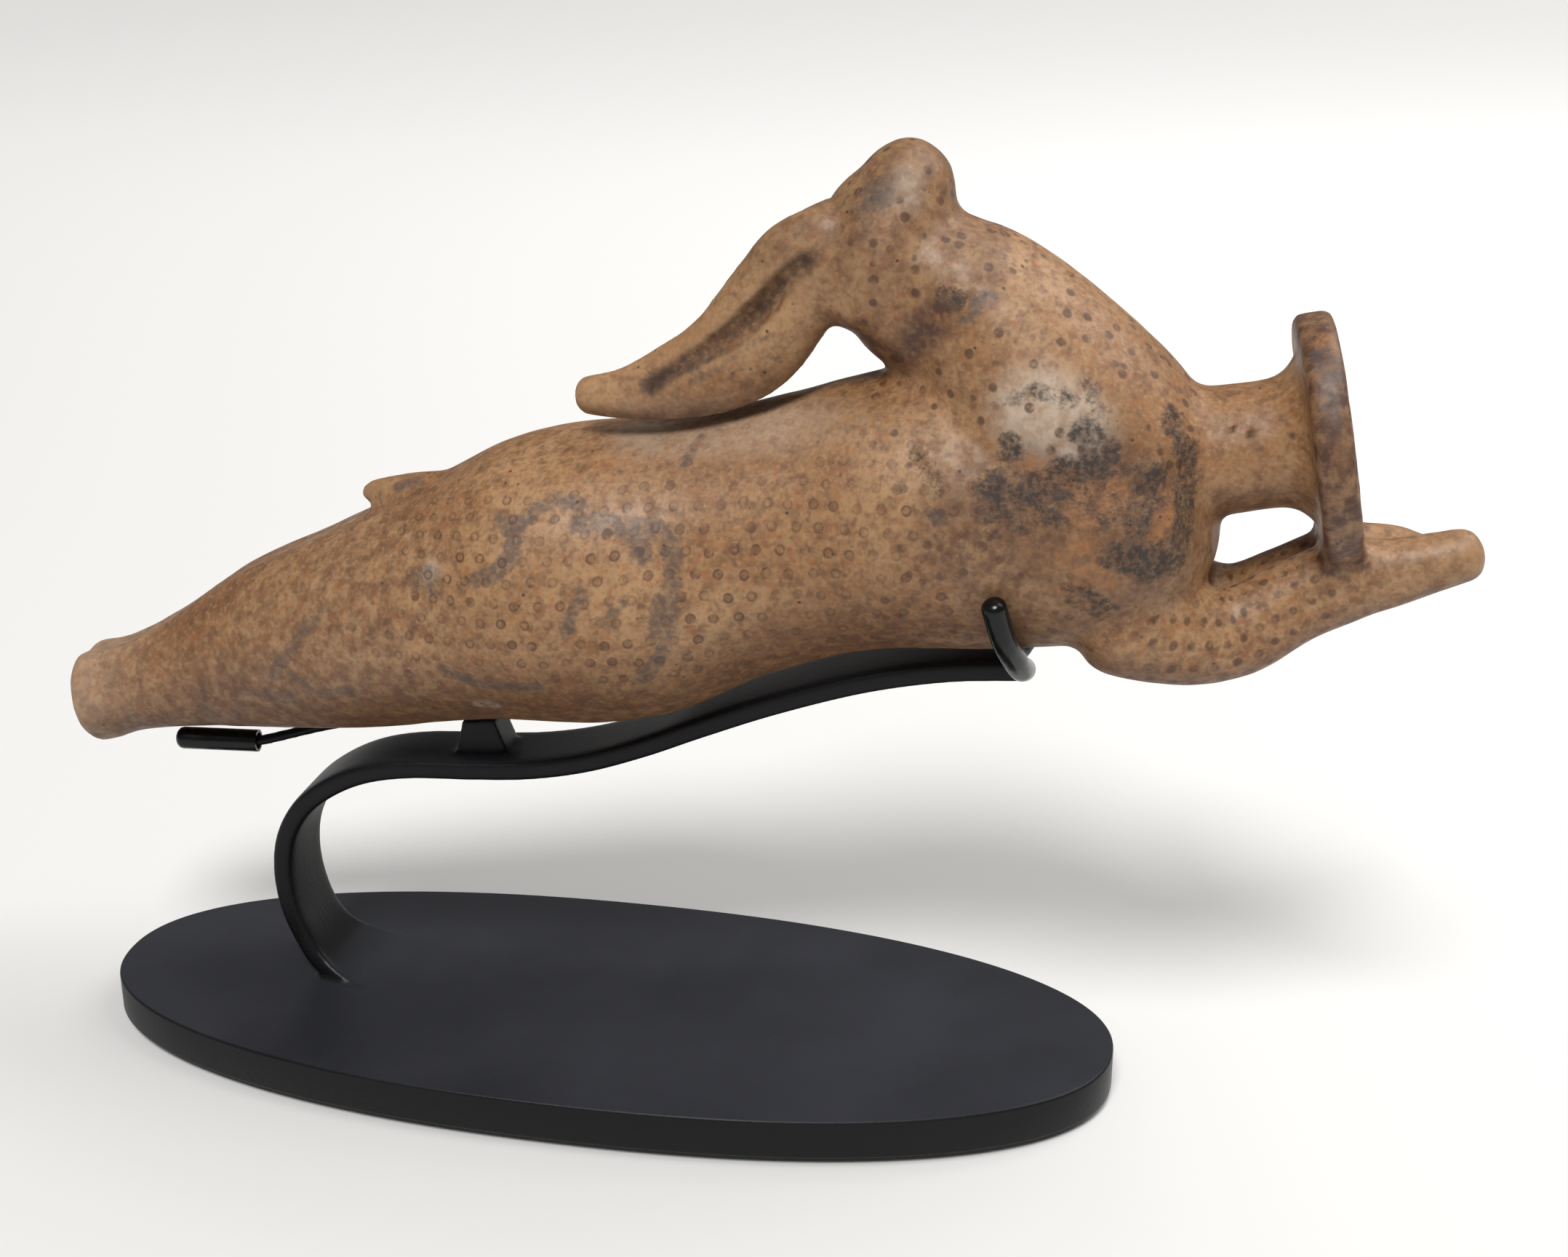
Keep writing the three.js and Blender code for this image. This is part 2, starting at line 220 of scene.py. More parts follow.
@dataclass(frozen=True)
class Tube:
    """A closed tube through the rows of a table: x, y, z, half height, half width, parting.

    A section is an oval on the spine: half the width across (as near +Y as it can be) and half the
    height upwards. The ends are domed over the lengths given by caps.
    """

    rows: Line
    caps: tuple[float, float] = (0.0, 0.0)
    outline: Outline = Outline.OVAL

    def mirrored(self) -> "Tube":
        """The same tube on the other side of the plane of symmetry."""
        return replace(self, rows=tuple((row[0], -row[1], *row[2:]) for row in self.rows))

    def thinner(self, wall: float, first: int, last: int, caps: tuple[float, float]) -> "Tube":
        """The hollow inside this tube, one wall in, between two of its rows."""
        rows = tuple((*r[:3], r[3] - wall, r[4] - wall) for r in self.rows[first:last])
        return Tube(rows, caps)

    def spine(self, samples: int = 600) -> tuple[Array, Array, Array, Array]:
        """The spine as arrays: place along it, centre, tangent, and half height, half width, parting.

        Args:
            samples: how many places to take.

        Returns:
            The four arrays, with a row for each place.
        """
        table = np.array([(*row, 0.0) if len(row) == 5 else row for row in self.rows])
        at = np.linspace(0.0, 1.0, samples)
        centre = catmull_rom(table[:, :3], at)
        tangent = np.gradient(centre, axis=0)
        tangent /= np.linalg.norm(tangent, axis=1, keepdims=True)
        steps = np.linalg.norm(np.diff(centre, axis=0), axis=1)
        along = np.concatenate([[0.0], np.cumsum(steps)])
        return along, centre, tangent, catmull_rom(table[:, 3:], at)

    def places(self, length: float, step: float) -> tuple[Array, Array]:
        """Where the rings lie along the tube, and the share of the full section that each has.

        In a dome of length c a ring at angle a lies at c (1 - cos a) and has the share sin a.

        Args:
            length: the spine's length.
            step: millimetres from ring to ring.

        Returns:
            Each ring's place and its share.
        """
        domes = []
        for cap in self.caps:
            turn = np.linspace(0.0, math.pi / 2, max(2, math.ceil(1.6 * cap / step)) + 1)[:-1]
            domes.append((cap * (1.0 - np.cos(turn)), np.sin(turn)) if cap else ([0.0], [0.0]))
        rings = max(4, math.ceil((length - sum(self.caps)) / step))
        between = np.linspace(self.caps[0], length - self.caps[1], rings)
        end = length - np.array(domes[1][0])[::-1]
        along = np.concatenate([domes[0][0], between, end])
        share = np.concatenate([domes[0][1], np.ones(rings), np.array(domes[1][1])[::-1]])
        return along, share

    def unit_section(self, sides: int, parting: Array) -> tuple[Array, Array]:
        """Offsets across and upwards of the section's points, of every ring, as shares of its half sizes.

        An oval takes (cos a, sin a). A bar takes the quarter power of each, with its sign. A pair of
        legs is an oval less parting times |sin a| to the 22nd, a notch above and one below.

        Args:
            sides: points round a ring.
            parting: how deep the notch is, for each ring.

        Returns:
            The offsets across and those upwards, rings by points.
        """
        angle = 2 * math.pi * np.arange(sides) / sides
        across = np.tile(np.cos(angle), (len(parting), 1))
        upward = np.tile(np.sin(angle), (len(parting), 1))
        if self.outline is Outline.BAR:
            across = np.sign(across) * np.abs(across) ** 0.25
            upward = np.sign(upward) * np.abs(upward) ** 0.25
        if self.outline is Outline.PAIR_OF_LEGS:
            notch = 1.0 - parting[:, None] * np.abs(np.sin(angle)) ** 22
            across, upward = across * notch, upward * notch
        return across, upward

    def surface(self, step: float, sides: int) -> Surface:
        """The tube's surface: the section's offsets carried along the spine.

        Args:
            step: millimetres from ring to ring.
            sides: points round a ring.

        Returns:
            The closed surface.
        """
        along, centre, tangent, girth = self.spine()
        place, share = self.places(along[-1], step)
        centre, tangent, girth = (
            np.stack([np.interp(place, along, column) for column in values.T], axis=1)
            for values in (centre, tangent, girth)
        )
        tangent /= np.linalg.norm(tangent, axis=1, keepdims=True)
        across = np.array([0.0, 1.0, 0.0]) - tangent[:, 1:2] * tangent
        across /= np.linalg.norm(across, axis=1, keepdims=True)
        upward = np.cross(tangent, across)
        a, b = self.unit_section(sides, girth[:, 2])
        a = a * (girth[:, 1] * share)[:, None]
        b = b * (girth[:, 0] * share)[:, None]
        rings = centre[:, None] + a[..., None] * across[:, None] + b[..., None] * upward[:, None]
        return closed_surface(rings)

    def near(self, points: Array) -> Nearness:
        """Where points lie beside the tube, each beside the spine's nearest sample.

        Args:
            points: the points, in millimetres.

        Returns:
            Where each point lies.
        """
        along, centre, tangent, girth = self.spine(220)
        squares = (centre**2).sum(1)[None] - 2.0 * points @ centre.T
        nearest = squares.argmin(axis=1)
        c, t = centre[nearest], tangent[nearest]
        across = np.array([0.0, 1.0, 0.0]) - t[:, 1:2] * t
        across /= np.linalg.norm(across, axis=1, keepdims=True)
        off = points - c
        forward = (off * t).sum(1)
        a = (off * across).sum(1) / girth[nearest, 1]
        b = (off * np.cross(t, across)).sum(1) / girth[nearest, 0]
        outside = np.where((nearest == 0) | (nearest == len(along) - 1), forward, 0.0)
        share = np.hypot(np.hypot(a, b), outside / girth[nearest, 0])
        return Nearness(
            along[nearest] + forward, np.arctan2(b, a), share, girth[nearest, 0], girth[nearest, 1]
        )


@dataclass(frozen=True)
class Turning:
    """An axis that profiles are turned about: its origin and three directions at right angles."""

    origin: Place
    rise_deg: float
    turn_deg: float

    def directions(self) -> tuple[Array, Array, Array]:
        """The axis, the direction across it and the one upwards from it.

        Returns:
            The three directions, each of length 1.
        """
        r, t = math.radians(self.rise_deg), math.radians(self.turn_deg)
        axis = np.array([math.cos(r) * math.cos(t), math.cos(r) * math.sin(t), math.sin(r)])
        across = np.array([-math.sin(t), math.cos(t), 0.0])
        return axis, across, np.cross(axis, across)

    def surface(self, profile: Array, sides: int, above: float = 0.0) -> Surface:
        """Turns a profile of radius and place along the axis, which starts and ends at radius 0.

        Args:
            profile: rows of radius and place.
            sides: points round a ring.
            above: how far over the axis the turned form lies.

        Returns:
            The closed surface.
        """
        axis, across, upward = self.directions()
        angle = 2 * math.pi * np.arange(sides) / sides
        spoke = np.cos(angle)[:, None] * across + np.sin(angle)[:, None] * upward
        rings = profile[:, 1, None, None] * axis + profile[:, 0, None, None] * spoke
        return closed_surface(rings + np.array(self.origin) + above * upward)

    def polar(self, points: Array) -> tuple[Array, Array]:
        """Where points lie by the axis.

        Args:
            points: the points, in millimetres.

        Returns:
            Each point's place along the axis and its distance from it.
        """
        axis, across, upward = self.directions()
        off = points - np.array(self.origin)
        return off @ axis, np.hypot(off @ across, off @ upward)


def rounded_profile(radius: float, half: float, rounding: float, steps: int = 8) -> Array:
    """The profile of a disc whose two edges are quarter circles.

    Args:
        radius: the disc's radius.
        half: half its thickness.
        rounding: the radius of its edges.
        steps: points on a quarter circle.

    Returns:
        Rows of radius and place along the axis.
    """
    turn = np.radians(np.linspace(0.0, 90.0, steps))
    rise = np.stack([radius - rounding + rounding * np.sin(turn), rounding * np.cos(turn)], axis=1)
    lower = np.stack([rise[:, 0], -half + rounding - rise[:, 1]], axis=1)
    upper = np.stack([rise[::-1, 0], half - rounding + rise[::-1, 1]], axis=1)
    inner = np.linspace(0.0, radius - rounding, 6)[:-1]
    face = np.stack([inner, np.full(5, -half)], axis=1)
    back = np.stack([inner[::-1], np.full(5, half)], axis=1)
    return np.vstack([face, lower, upper, back])


# Meshes


def piece(name: str, surface: Surface) -> bpy.types.Object:
    """Makes an object of a surface, at the origin, with its place in its mesh.

    Args:
        name: the object's name.
        surface: the surface.

    Returns:
        The object.
    """
    mesh = bpy.data.meshes.new(name)
    mesh.from_pydata(in_frame(surface.points).tolist(), [], surface.faces)
    mesh.validate()
    made = bpy.data.objects.new(name, mesh)
    bpy.context.scene.collection.objects.link(made)
    return made


def apply_modifiers(target: bpy.types.Object) -> None:
    """Gives the object the mesh that its modifiers make, and takes them off.

    Args:
        target: the object.
    """
    graph = bpy.context.evaluated_depsgraph_get()
    made = bpy.data.meshes.new_from_object(target.evaluated_get(graph))
    target.modifiers.clear()
    old, target.data = target.data, made
    bpy.data.meshes.remove(old)


def remeshed(target: bpy.types.Object, voxel: float) -> bpy.types.Object:
    """Makes one skin of the object's overlapping closed surfaces, with faces about voxel wide.

    Args:
        target: the object.
        voxel: how wide the new faces are, in millimetres.

    Returns:
        The same object.
    """
    made = target.modifiers.new("skin", "REMESH")
    made.mode = "VOXEL"
    made.voxel_size = voxel * MM
    apply_modifiers(target)
    return target


def combine(target: bpy.types.Object, tool: bpy.types.Object, how: Cut) -> bpy.types.Object:
    """Joins the tool to the object or cuts it out of it, and removes the tool.

    Args:
        target: the object.
        tool: what is joined to it or cut out of it.
        how: which of the two.

    Returns:
        The same object.
    """
    made = target.modifiers.new("cut", "BOOLEAN")
    made.operation, made.solver, made.object = how.value, "MANIFOLD", tool
    apply_modifiers(target)
    bpy.data.objects.remove(tool)
    return target


def read_values(items: bpy.types.bpy_prop_collection, name: str, width: int, kind: type) -> Array:
    """Reads one value of each of a mesh's items.

    Args:
        items: the mesh's points, normals or edges.
        name: the value's name.
        width: how many numbers it has.
        kind: the sort of number that Blender keeps it as.

    Returns:
        One row for each item.
    """
    flat = np.empty(len(items) * width, kind)
    items.foreach_get(name, flat)
    return flat.reshape(-1, width)


def points_of(mesh: bpy.types.Mesh) -> Array:
    """The mesh's points, in the millimetres of the tables."""
    return from_frame(read_values(mesh.vertices, "co", 3, np.float32).astype(float))


def normals_of(mesh: bpy.types.Mesh) -> Array:
    """The direction that looks outwards at each of the mesh's points."""
    return read_values(mesh.vertex_normals, "vector", 3, np.float32).astype(float)


def edges_of(mesh: bpy.types.Mesh) -> Array:
    """The two points of each of the mesh's edges."""
    return read_values(mesh.edges, "vertices", 2, np.int32)


def move_points(mesh: bpy.types.Mesh, points: Array) -> None:
    """Puts the mesh's points at these millimetres."""
    mesh.vertices.foreach_set("co", in_frame(points).astype(np.float32).ravel())
    mesh.update()


def spread(values: Array, edges: Array, rounds: int, weight: Array | float = 1.0) -> Array:
    """Lets values run into their neighbours.

    Each round, a value moves by its weight towards the mean of those at the other ends of its edges.

    Args:
        values: one row or number for each point.
        edges: the two points of each edge.
        rounds: how many rounds.
        weight: one for all points, or one for each.

    Returns:
        The values after the last round.
    """
    values = values.reshape(len(values), -1).astype(float)
    size = len(values)
    degree = np.maximum(np.bincount(edges.ravel(), minlength=size), 1)[:, None]
    weight = np.broadcast_to(weight, size)[:, None]
    for _ in range(rounds):
        total = [
            np.bincount(edges[:, 0], column[edges[:, 1]], size)
            + np.bincount(edges[:, 1], column[edges[:, 0]], size)
            for column in values.T
        ]
        values = values + weight * (np.stack(total, axis=1) / degree - values)
    return values if values.shape[1] > 1 else values[:, 0]


def give_values(mesh: bpy.types.Mesh, name: str, values: Array) -> None:
    """Keeps three numbers for each point of the mesh, for its material to read."""
    kept = mesh.attributes.new(name, "FLOAT_VECTOR", "POINT")
    kept.data.foreach_set("vector", values.astype(np.float32).ravel())


def shade_smooth(mesh: bpy.types.Mesh, sharp_deg: float | None = None) -> None:
    """Shades the mesh smoothly, apart from edges sharper than an angle, if one is given.

    Args:
        mesh: the mesh.
        sharp_deg: the angle, in degrees.
    """
    mesh.polygons.foreach_set("use_smooth", np.ones(len(mesh.polygons), bool))
    if sharp_deg is not None:
        mesh.set_sharp_from_angle(angle=math.radians(sharp_deg))
    mesh.update()


def finish_piece(
    made: bpy.types.Object, material: bpy.types.Material, nodes: tuple[str, ...]
) -> None:
    """Dresses a piece, puts it in the place of its CAD nodes and reports it.

    Args:
        made: the piece.
        material: its finish.
        nodes: the CAD nodes that it replaces.
    """
    made.data.materials.clear()
    made.data.materials.append(material)
    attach(made, BODY_NAME)
    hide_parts(*nodes)
    triangles = sum(len(polygon.vertices) - 2 for polygon in made.data.polygons)
    log.info("%s: %d triangles", made.name, triangles)


# Materials


def linear(hex_colour: str) -> tuple[float, float, float, float]:
    """The linear colour of an sRGB hex colour, such as "#A27C55".

    Args:
        hex_colour: the colour, with its leading sign.

    Returns:
        Red, green, blue and an opacity of 1.
    """
    shares = [int(hex_colour[i : i + 2], 16) / 255 for i in (1, 3, 5)]
    made = [s / 12.92 if s <= 0.04045 else ((s + 0.055) / 1.055) ** 2.4 for s in shares]
    return (*made, 1.0)


def per_mm(size: float) -> float:
    """The scale of a pattern whose features are this many millimetres wide."""
    return 1.0 / (size * MM)


def add(tree: Tree, kind: str, inputs: dict, out: int | str = 0, **settings) -> Socket:
    """Adds a node.

    Args:
        tree: the node tree.
        kind: the node's type, without its first word.
        inputs: values or sockets for the node's inputs, by name or place.
        out: which output to give back.
        **settings: the node's own properties.

    Returns:
        The output socket, or the node itself where it has none.
    """
    node = tree.nodes.new("ShaderNode" + kind)
    for name, value in settings.items():
        setattr(node, name, value)
    for key, value in inputs.items():
        if isinstance(value, Socket):
            tree.links.new(value, node.inputs[key])
        else:
            node.inputs[key].default_value = value
    return node.outputs[out] if len(node.outputs) else node


def new_material(name: str) -> tuple[bpy.types.Material, Tree]:
    """An empty material and its node tree.

    Args:
        name: the material's name.

    Returns:
        The two.
    """
    material = bpy.data.materials.new(name)
    material.use_nodes = True
    material.node_tree.nodes.clear()
    return material, material.node_tree


class Wear(Enum):
    """What shows on the clay, and where its share is kept: the attribute and the place in it."""

    RINGS = ("paint", 0)
    LEG_DOTS = ("paint", 1)
    SPOTS = ("paint", 2)
    CRUST = ("wear", 0)
    STREAK = ("wear", 1)
    RUST = ("wear", 2)
    # browner clay at the rear, and painted shade on the lower flank
    BROWN = ("tone", 0)
    # pale rubbed places, and painted highlights on the shoulder and along the back
    PALE_AND_HIGHLIGHT = ("tone", 1)
    # dark brown stains, the raw clay inside, and painted shade on the nape, the head, the rim and the
    # lower body
    UMBER_AND_SHADE = ("tone", 2)
    SOIL_AND_SHADE = ("form", 0)
    # soil spots, and painted shade in the creases and the ear hollows
    RIDGE = ("form", 1)


@dataclass(frozen=True)
class Mark:
    """A worn or stained line on the clay, or a spot where it has one point."""

    radius: float
    strength: float
    line: tuple[Place, ...]

    def share(self, points: Array) -> Array:
        """How much of the mark each point has: all of it up to 0.4 of its radius, none past 1.3.

        Args:
            points: the points, in millimetres.

        Returns:
            One share for each point.
        """
        line = np.array(self.line, float)
        far = distance_to_line(points, np.vstack([line, line[-1:]]))
        return self.strength * (1.0 - smooth_step(far, 0.4 * self.radius, 1.3 * self.radius))


# Settings that many nodes share
SOFT = {"interpolation_type": "SMOOTHSTEP"}
COLOURS = {"data_type": "RGBA"}
TIMES = {"operation": "MULTIPLY"}
TIMES_PLUS = {"operation": "MULTIPLY_ADD"}

# The clay's noises: how many millimetres wide their features are, their detail and their roughness.
# The specks are drawn 0.7 mm wide, coarser than in fine clay, so that they show in the render.
GRAINS = {
    "cloud": (24.0, 2.0, 0.55),
    "mottle": (2.4, 5.0, 0.62),
    "speck": (0.7, 2.0, 0.5),
    "orange": (1.3, 2.0, 0.5),
    "dark": (1.7, 2.0, 0.5),
    "rubbed": (1.8, 4.0, 0.65),
    "shade": (2.2, 5.0, 0.65),
    "worn": (1.5, 3.0, 0.55),
    "faded": (13.0, 2.0, 0.55),
    "rust": (2.4, 6.0, 0.72),
    "crust": (2.8, 6.0, 0.72),
    "streak": (1.8, 6.0, 0.72),
    "gaps": (0.8, 2.0, 0.5),
    "pitted": (7.0, 3.0, 0.55),
    "soil_and_shade": (1.2, 4.0, 0.65),
}

Layers = list[tuple[Socket, float, str]]
Grains = dict[str, Socket]
Shares = dict[Wear, Socket]


@dataclass(frozen=True)
class FiredClay:
    """Burnished earthenware, slipped and painted before firing, with centuries of soil in it, and with
    painted shade and painted highlights in its colour.

    The eye sees a warm tan with fine orange-brown specks, a soft gloss where it was rubbed, small
    painted rings and dots in rows, and dark crust and grey worn streaks. Each layer of the colour is a
    share, the most that it covers and a hex colour, laid over the layers before it.
    """

    tan: str = "#906944"
    brown: str = "#633F26"
    light: str = "#A9845E"
    paint: str = "#472A1A"
    crust: str = "#312A27"
    rust: str = "#8A5229"
    rust_lit: str = "#9C6A40"
    grey: str = "#423D3C"
    # the pale of rubbed places, also used for painted highlights
    pale_and_highlight: str = "#BFAC98"
    # the dark of pits and soil, also painted as shade into the creases and the ear hollows
    hollow: str = "#2B1811"
    # dark brown for stains and the raw inside, also used for painted shade
    umber_and_shade: str = "#4A2E20"
    ring_step: tuple[float, float] = (3.25, 3.0)
    leg_step: tuple[float, float] = (2.7, 2.9)
    ring_radius: float = 0.58
    ring_line: float = 0.28
    dot_radius: float = 0.68
    spot_step: float = 2.8
    pit_step: float = 2.6

    def rows(self, tree: Tree, step: tuple[float, float], seed: float) -> tuple[Socket, Socket]:
        """Distance to the nearest mark of the painted rows, and the mark's own random colour.

        The place along and round the body is divided by the step, and each row slides on by 0.37 of a
        step. The whole part of the place names a mark. Its fraction less the place of the mark's middle,
        which is a half with a random shift of at most 0.09, is how far away that middle is.

        Args:
            tree: the material's node tree.
            step: millimetres from mark to mark along the body and round it.
            seed: a shift of the whole pattern, in steps.

        Returns:
            The distance in millimetres, and a colour of three random numbers.
        """
        place = add(tree, "Attribute", {}, "Vector", attribute_name="rows")
        cell = add(tree, "VectorMath", {0: place, 1: (*step, 1.0)}, operation="DIVIDE")
        cell = add(tree, "VectorMath", {0: cell, 1: (seed, seed, 0.0)}, operation="ADD")
        row = add(tree, "VectorMath", {0: cell}, operation="FLOOR")
        slide = add(tree, "VectorMath", {0: row, 1: (0.0, 0.37, 0.0)}, "Value", operation="DOT_PRODUCT")
        slide = add(tree, "CombineXYZ", {0: slide})
        cell = add(tree, "VectorMath", {0: cell, 1: slide}, operation="ADD")
        name = add(tree, "VectorMath", {0: cell}, operation="FLOOR")
        chance = add(tree, "TexWhiteNoise", {"Vector": name}, "Color", noise_dimensions="3D")
        part = add(tree, "VectorMath", {0: cell, 1: name}, operation="SUBTRACT")
        shift = add(tree, "VectorMath", {0: chance, 1: (0.18, 0.16, 0.0)}, operation="MULTIPLY")
        middle = add(tree, "VectorMath", {0: shift, 1: (0.41, 0.42, 0.0)}, operation="ADD")
        off = add(tree, "VectorMath", {0: part, 1: middle}, operation="SUBTRACT")
        off = add(tree, "VectorMath", {0: off, 1: (*step, 0.0)}, operation="MULTIPLY")
        return add(tree, "VectorMath", {0: off}, "Value", operation="LENGTH"), chance

    def body_layers(self, tree: Tree, grain: Grains, share: Shares) -> Layers:
        """The clay itself: broad clouds, a mottle, browner at the rear and with painted shade low on the
        body, specks, light rubbed places with painted highlights, and dark brown stains with painted
        shade.

        Args:
            tree: the material's node tree.
            grain: the noises, by name.
            share: how much of each kind of wear a point has.

        Returns:
            The layers, the lowest first.
        """
        # the brown share: browner towards the rear, and painted shade low on the body
        tenth = {0: share[Wear.BROWN], 1: 0.1, 2: grain["mottle"]}
        browner = add(tree, "Math", tenth, **TIMES_PLUS)
        flecks = (
            (grain["cloud"], 0.35, 0.68, 1.0, self.light),
            (browner, 0.42, 0.75, 0.7, self.brown),
            (grain["speck"], 0.5, 0.7, 0.34, self.brown),
            (grain["speck"], 0.48, 0.3, 0.5, self.light),
            (grain["orange"], 0.5, 0.68, 0.44, self.rust),
            (grain["dark"], 0.53, 0.7, 0.36, self.paint),
        )
        layers = []
        for value, none, full, most, colour in flecks:
            fleck = add(tree, "MapRange", {0: value, 1: none, 2: full}, **SOFT)
            layers.append((fleck, most, colour))
        # the pale layer: rubbed places and painted highlights, broken up by a noise
        rubbed = add(tree, "MapRange", {0: grain["rubbed"], 1: 0.3, 2: 0.62, 3: 0.45, 4: 1.0}, **SOFT)
        pale_and_highlight = add(tree, "Math", {0: share[Wear.PALE_AND_HIGHLIGHT], 1: rubbed}, **TIMES)
        # the dark brown layer: stains, and painted shade in the nape fold, on the head, the rim, the
        # lower body and faces looking down
        shade = add(tree, "MapRange", {0: grain["shade"], 1: 0.32, 2: 0.66, 3: 0.5, 4: 1.2}, **SOFT)
        umber_and_shade = add(tree, "Math", {0: share[Wear.UMBER_AND_SHADE], 1: shade}, **TIMES)
        ridge = share[Wear.RIDGE]
        return layers + [(ridge, 0.4, self.light), (pale_and_highlight, 1.0, self.pale_and_highlight), (umber_and_shade, 1.0, self.umber_and_shade)]

    def paint_layers(self, tree: Tree, place: Socket, grain: Grains, share: Shares) -> Layers:
        """Painted rings along the body, some closed up, dots down the forelegs and scattered dots.

        Args:
            tree: the material's node tree.
            place: Object coordinates.
            grain: the noises, by name.
            share: how much of each kind of wear a point has.

        Returns:
            The layers, the lowest first.
        """
        worn = add(tree, "MapRange", {0: grain["worn"], 1: 0.36, 2: 0.56, 3: 0.35, 4: 1.0}, **SOFT)
        faded = add(tree, "MapRange", {0: grain["faded"], 1: 0.4, 2: 0.6, 3: 0.6, 4: 1.0}, **SOFT)

        far, chance = self.rows(tree, self.ring_step, 0.0)
        whim = add(tree, "SeparateColor", {0: chance}, 2)
        off_ring = add(tree, "Math", {0: far, 1: self.ring_radius}, operation="SUBTRACT")
        off_ring = add(tree, "Math", {0: off_ring}, operation="ABSOLUTE")
        line = {0: off_ring, 1: self.ring_line, 2: self.ring_line * 0.3}
        ring = add(tree, "MapRange", line, **SOFT)
        within = {0: far, 1: self.ring_radius * 1.15, 2: self.ring_radius * 0.7}
        inside = add(tree, "MapRange", within, **SOFT)
        closed = add(tree, "MapRange", {0: whim, 1: 0.45, 2: 0.95, 3: 0.3, 4: 0.85}, **SOFT)
        inside = add(tree, "Math", {0: inside, 1: closed}, **TIMES)
        ring = add(tree, "Math", {0: ring, 1: inside}, operation="MAXIMUM")
        faint = add(tree, "MapRange", {0: whim, 1: 0.0, 2: 0.5, 3: 0.6, 4: 1.0}, **SOFT)
        for factor in (worn, faded, faint, share[Wear.RINGS]):
            ring = add(tree, "Math", {0: ring, 1: factor}, **TIMES)

        leg_far, _ = self.rows(tree, self.leg_step, 0.31)
        within = {0: leg_far, 1: self.dot_radius * 1.2, 2: self.dot_radius * 0.6}
        dot = add(tree, "MapRange", within, **SOFT)
        cells = {"Vector": place, "Scale": per_mm(self.spot_step), "Randomness": 0.7}
        spot = add(tree, "TexVoronoi", cells, "Distance")
        spot = add(tree, "MapRange", {0: spot, 1: 0.31, 2: 0.19}, **SOFT)
        for factor in (worn, share[Wear.LEG_DOTS]):
            dot = add(tree, "Math", {0: dot, 1: factor}, **TIMES)
        for factor in (worn, share[Wear.SPOTS]):
            spot = add(tree, "Math", {0: spot, 1: factor}, **TIMES)
        return [(ring, 1.0, self.paint), (dot, 0.8, self.paint), (spot, 1.0, self.paint)]

    def wear_layers(self, tree: Tree, place: Socket, grain: Grains, share: Shares) -> Layers:
        """Rusty flakes, dark crust and grey streaks, all in ragged patches, tiny pits of soil, and soil
        spots with painted shade in the creases and the ear hollows.

        Args:
            tree: the material's node tree.
            place: Object coordinates.
            grain: the noises, by name.
            share: how much of each kind of wear a point has.

        Returns:
            The layers for rust, crust, streaks, pits, and soil with painted shade, in that order.
        """
        gaps = add(tree, "MapRange", {0: grain["gaps"], 1: 0.38, 2: 0.6, 3: 0.55, 4: 1.0}, **SOFT)
        kinds = (
            (Wear.RUST, 0.85, self.rust_lit),
            (Wear.CRUST, 0.92, self.crust),
            (Wear.STREAK, 0.66, self.grey),
        )
        layers = []
        for kind, most, colour in kinds:
            ragged = {0: share[kind], 1: 0.4, 2: grain[kind.name.lower()]}
            ragged = add(tree, "Math", ragged, **TIMES_PLUS)
            patch = add(tree, "MapRange", {0: ragged, 1: 0.56, 2: 0.84}, **SOFT)
            there = add(tree, "MapRange", {0: share[kind], 1: 0.0, 2: 0.35}, **SOFT)
            for factor in (there, gaps):
                patch = add(tree, "Math", {0: patch, 1: factor}, **TIMES)
            layers.append((patch, most, colour))
        cells = {"Vector": place, "Scale": per_mm(self.pit_step), "Randomness": 1.0}
        pit = add(tree, "TexVoronoi", cells, "Distance")
        pit = add(tree, "MapRange", {0: pit, 1: 0.12, 2: 0.07}, **SOFT)
        pitted = add(tree, "MapRange", {0: grain["pitted"], 1: 0.5, 2: 0.6, 3: 0.1, 4: 1.0}, **SOFT)
        pit = add(tree, "Math", {0: pit, 1: pitted}, **TIMES)
        # soil spots and painted shade in the creases and the ear hollows, broken up by a noise
        soil_and_shade = add(tree, "MapRange", {0: grain["soil_and_shade"], 1: 0.35, 2: 0.55, 3: 0.7, 4: 1.0}, **SOFT)
        soil_and_shade = add(tree, "Math", {0: share[Wear.SOIL_AND_SHADE], 1: soil_and_shade}, **TIMES)
        return layers + [(pit, 0.75, self.hollow), (soil_and_shade, 1.0, self.hollow)]

    def material(self) -> bpy.types.Material:
        """The material, which reads Object coordinates and the hare's own five attributes.

        Returns:
            The material.
        """
        material, tree = new_material("burnished earthenware")
        place = add(tree, "TexCoord", {}, "Object")
        grain, share = {}, {}
        for name, (size, detail, rough) in GRAINS.items():
            fine = {"Vector": place, "Scale": per_mm(size), "Detail": detail, "Roughness": rough}
            grain[name] = add(tree, "TexNoise", fine)
        for kind in Wear:
            attribute, part = kind.value
            vector = add(tree, "Attribute", {}, "Vector", attribute_name=attribute)
            share[kind] = add(tree, "SeparateXYZ", {0: vector}, part)

        worn = self.wear_layers(tree, place, grain, share)
        layers = self.body_layers(tree, grain, share) + self.paint_layers(tree, place, grain, share)
        colour = linear(self.tan)
        for amount, most, over in layers + worn:
            amount = add(tree, "Math", {0: amount, 1: most}, **TIMES)
            colour = add(tree, "Mix", {0: amount, 6: colour, 7: linear(over)}, 2, **COLOURS)

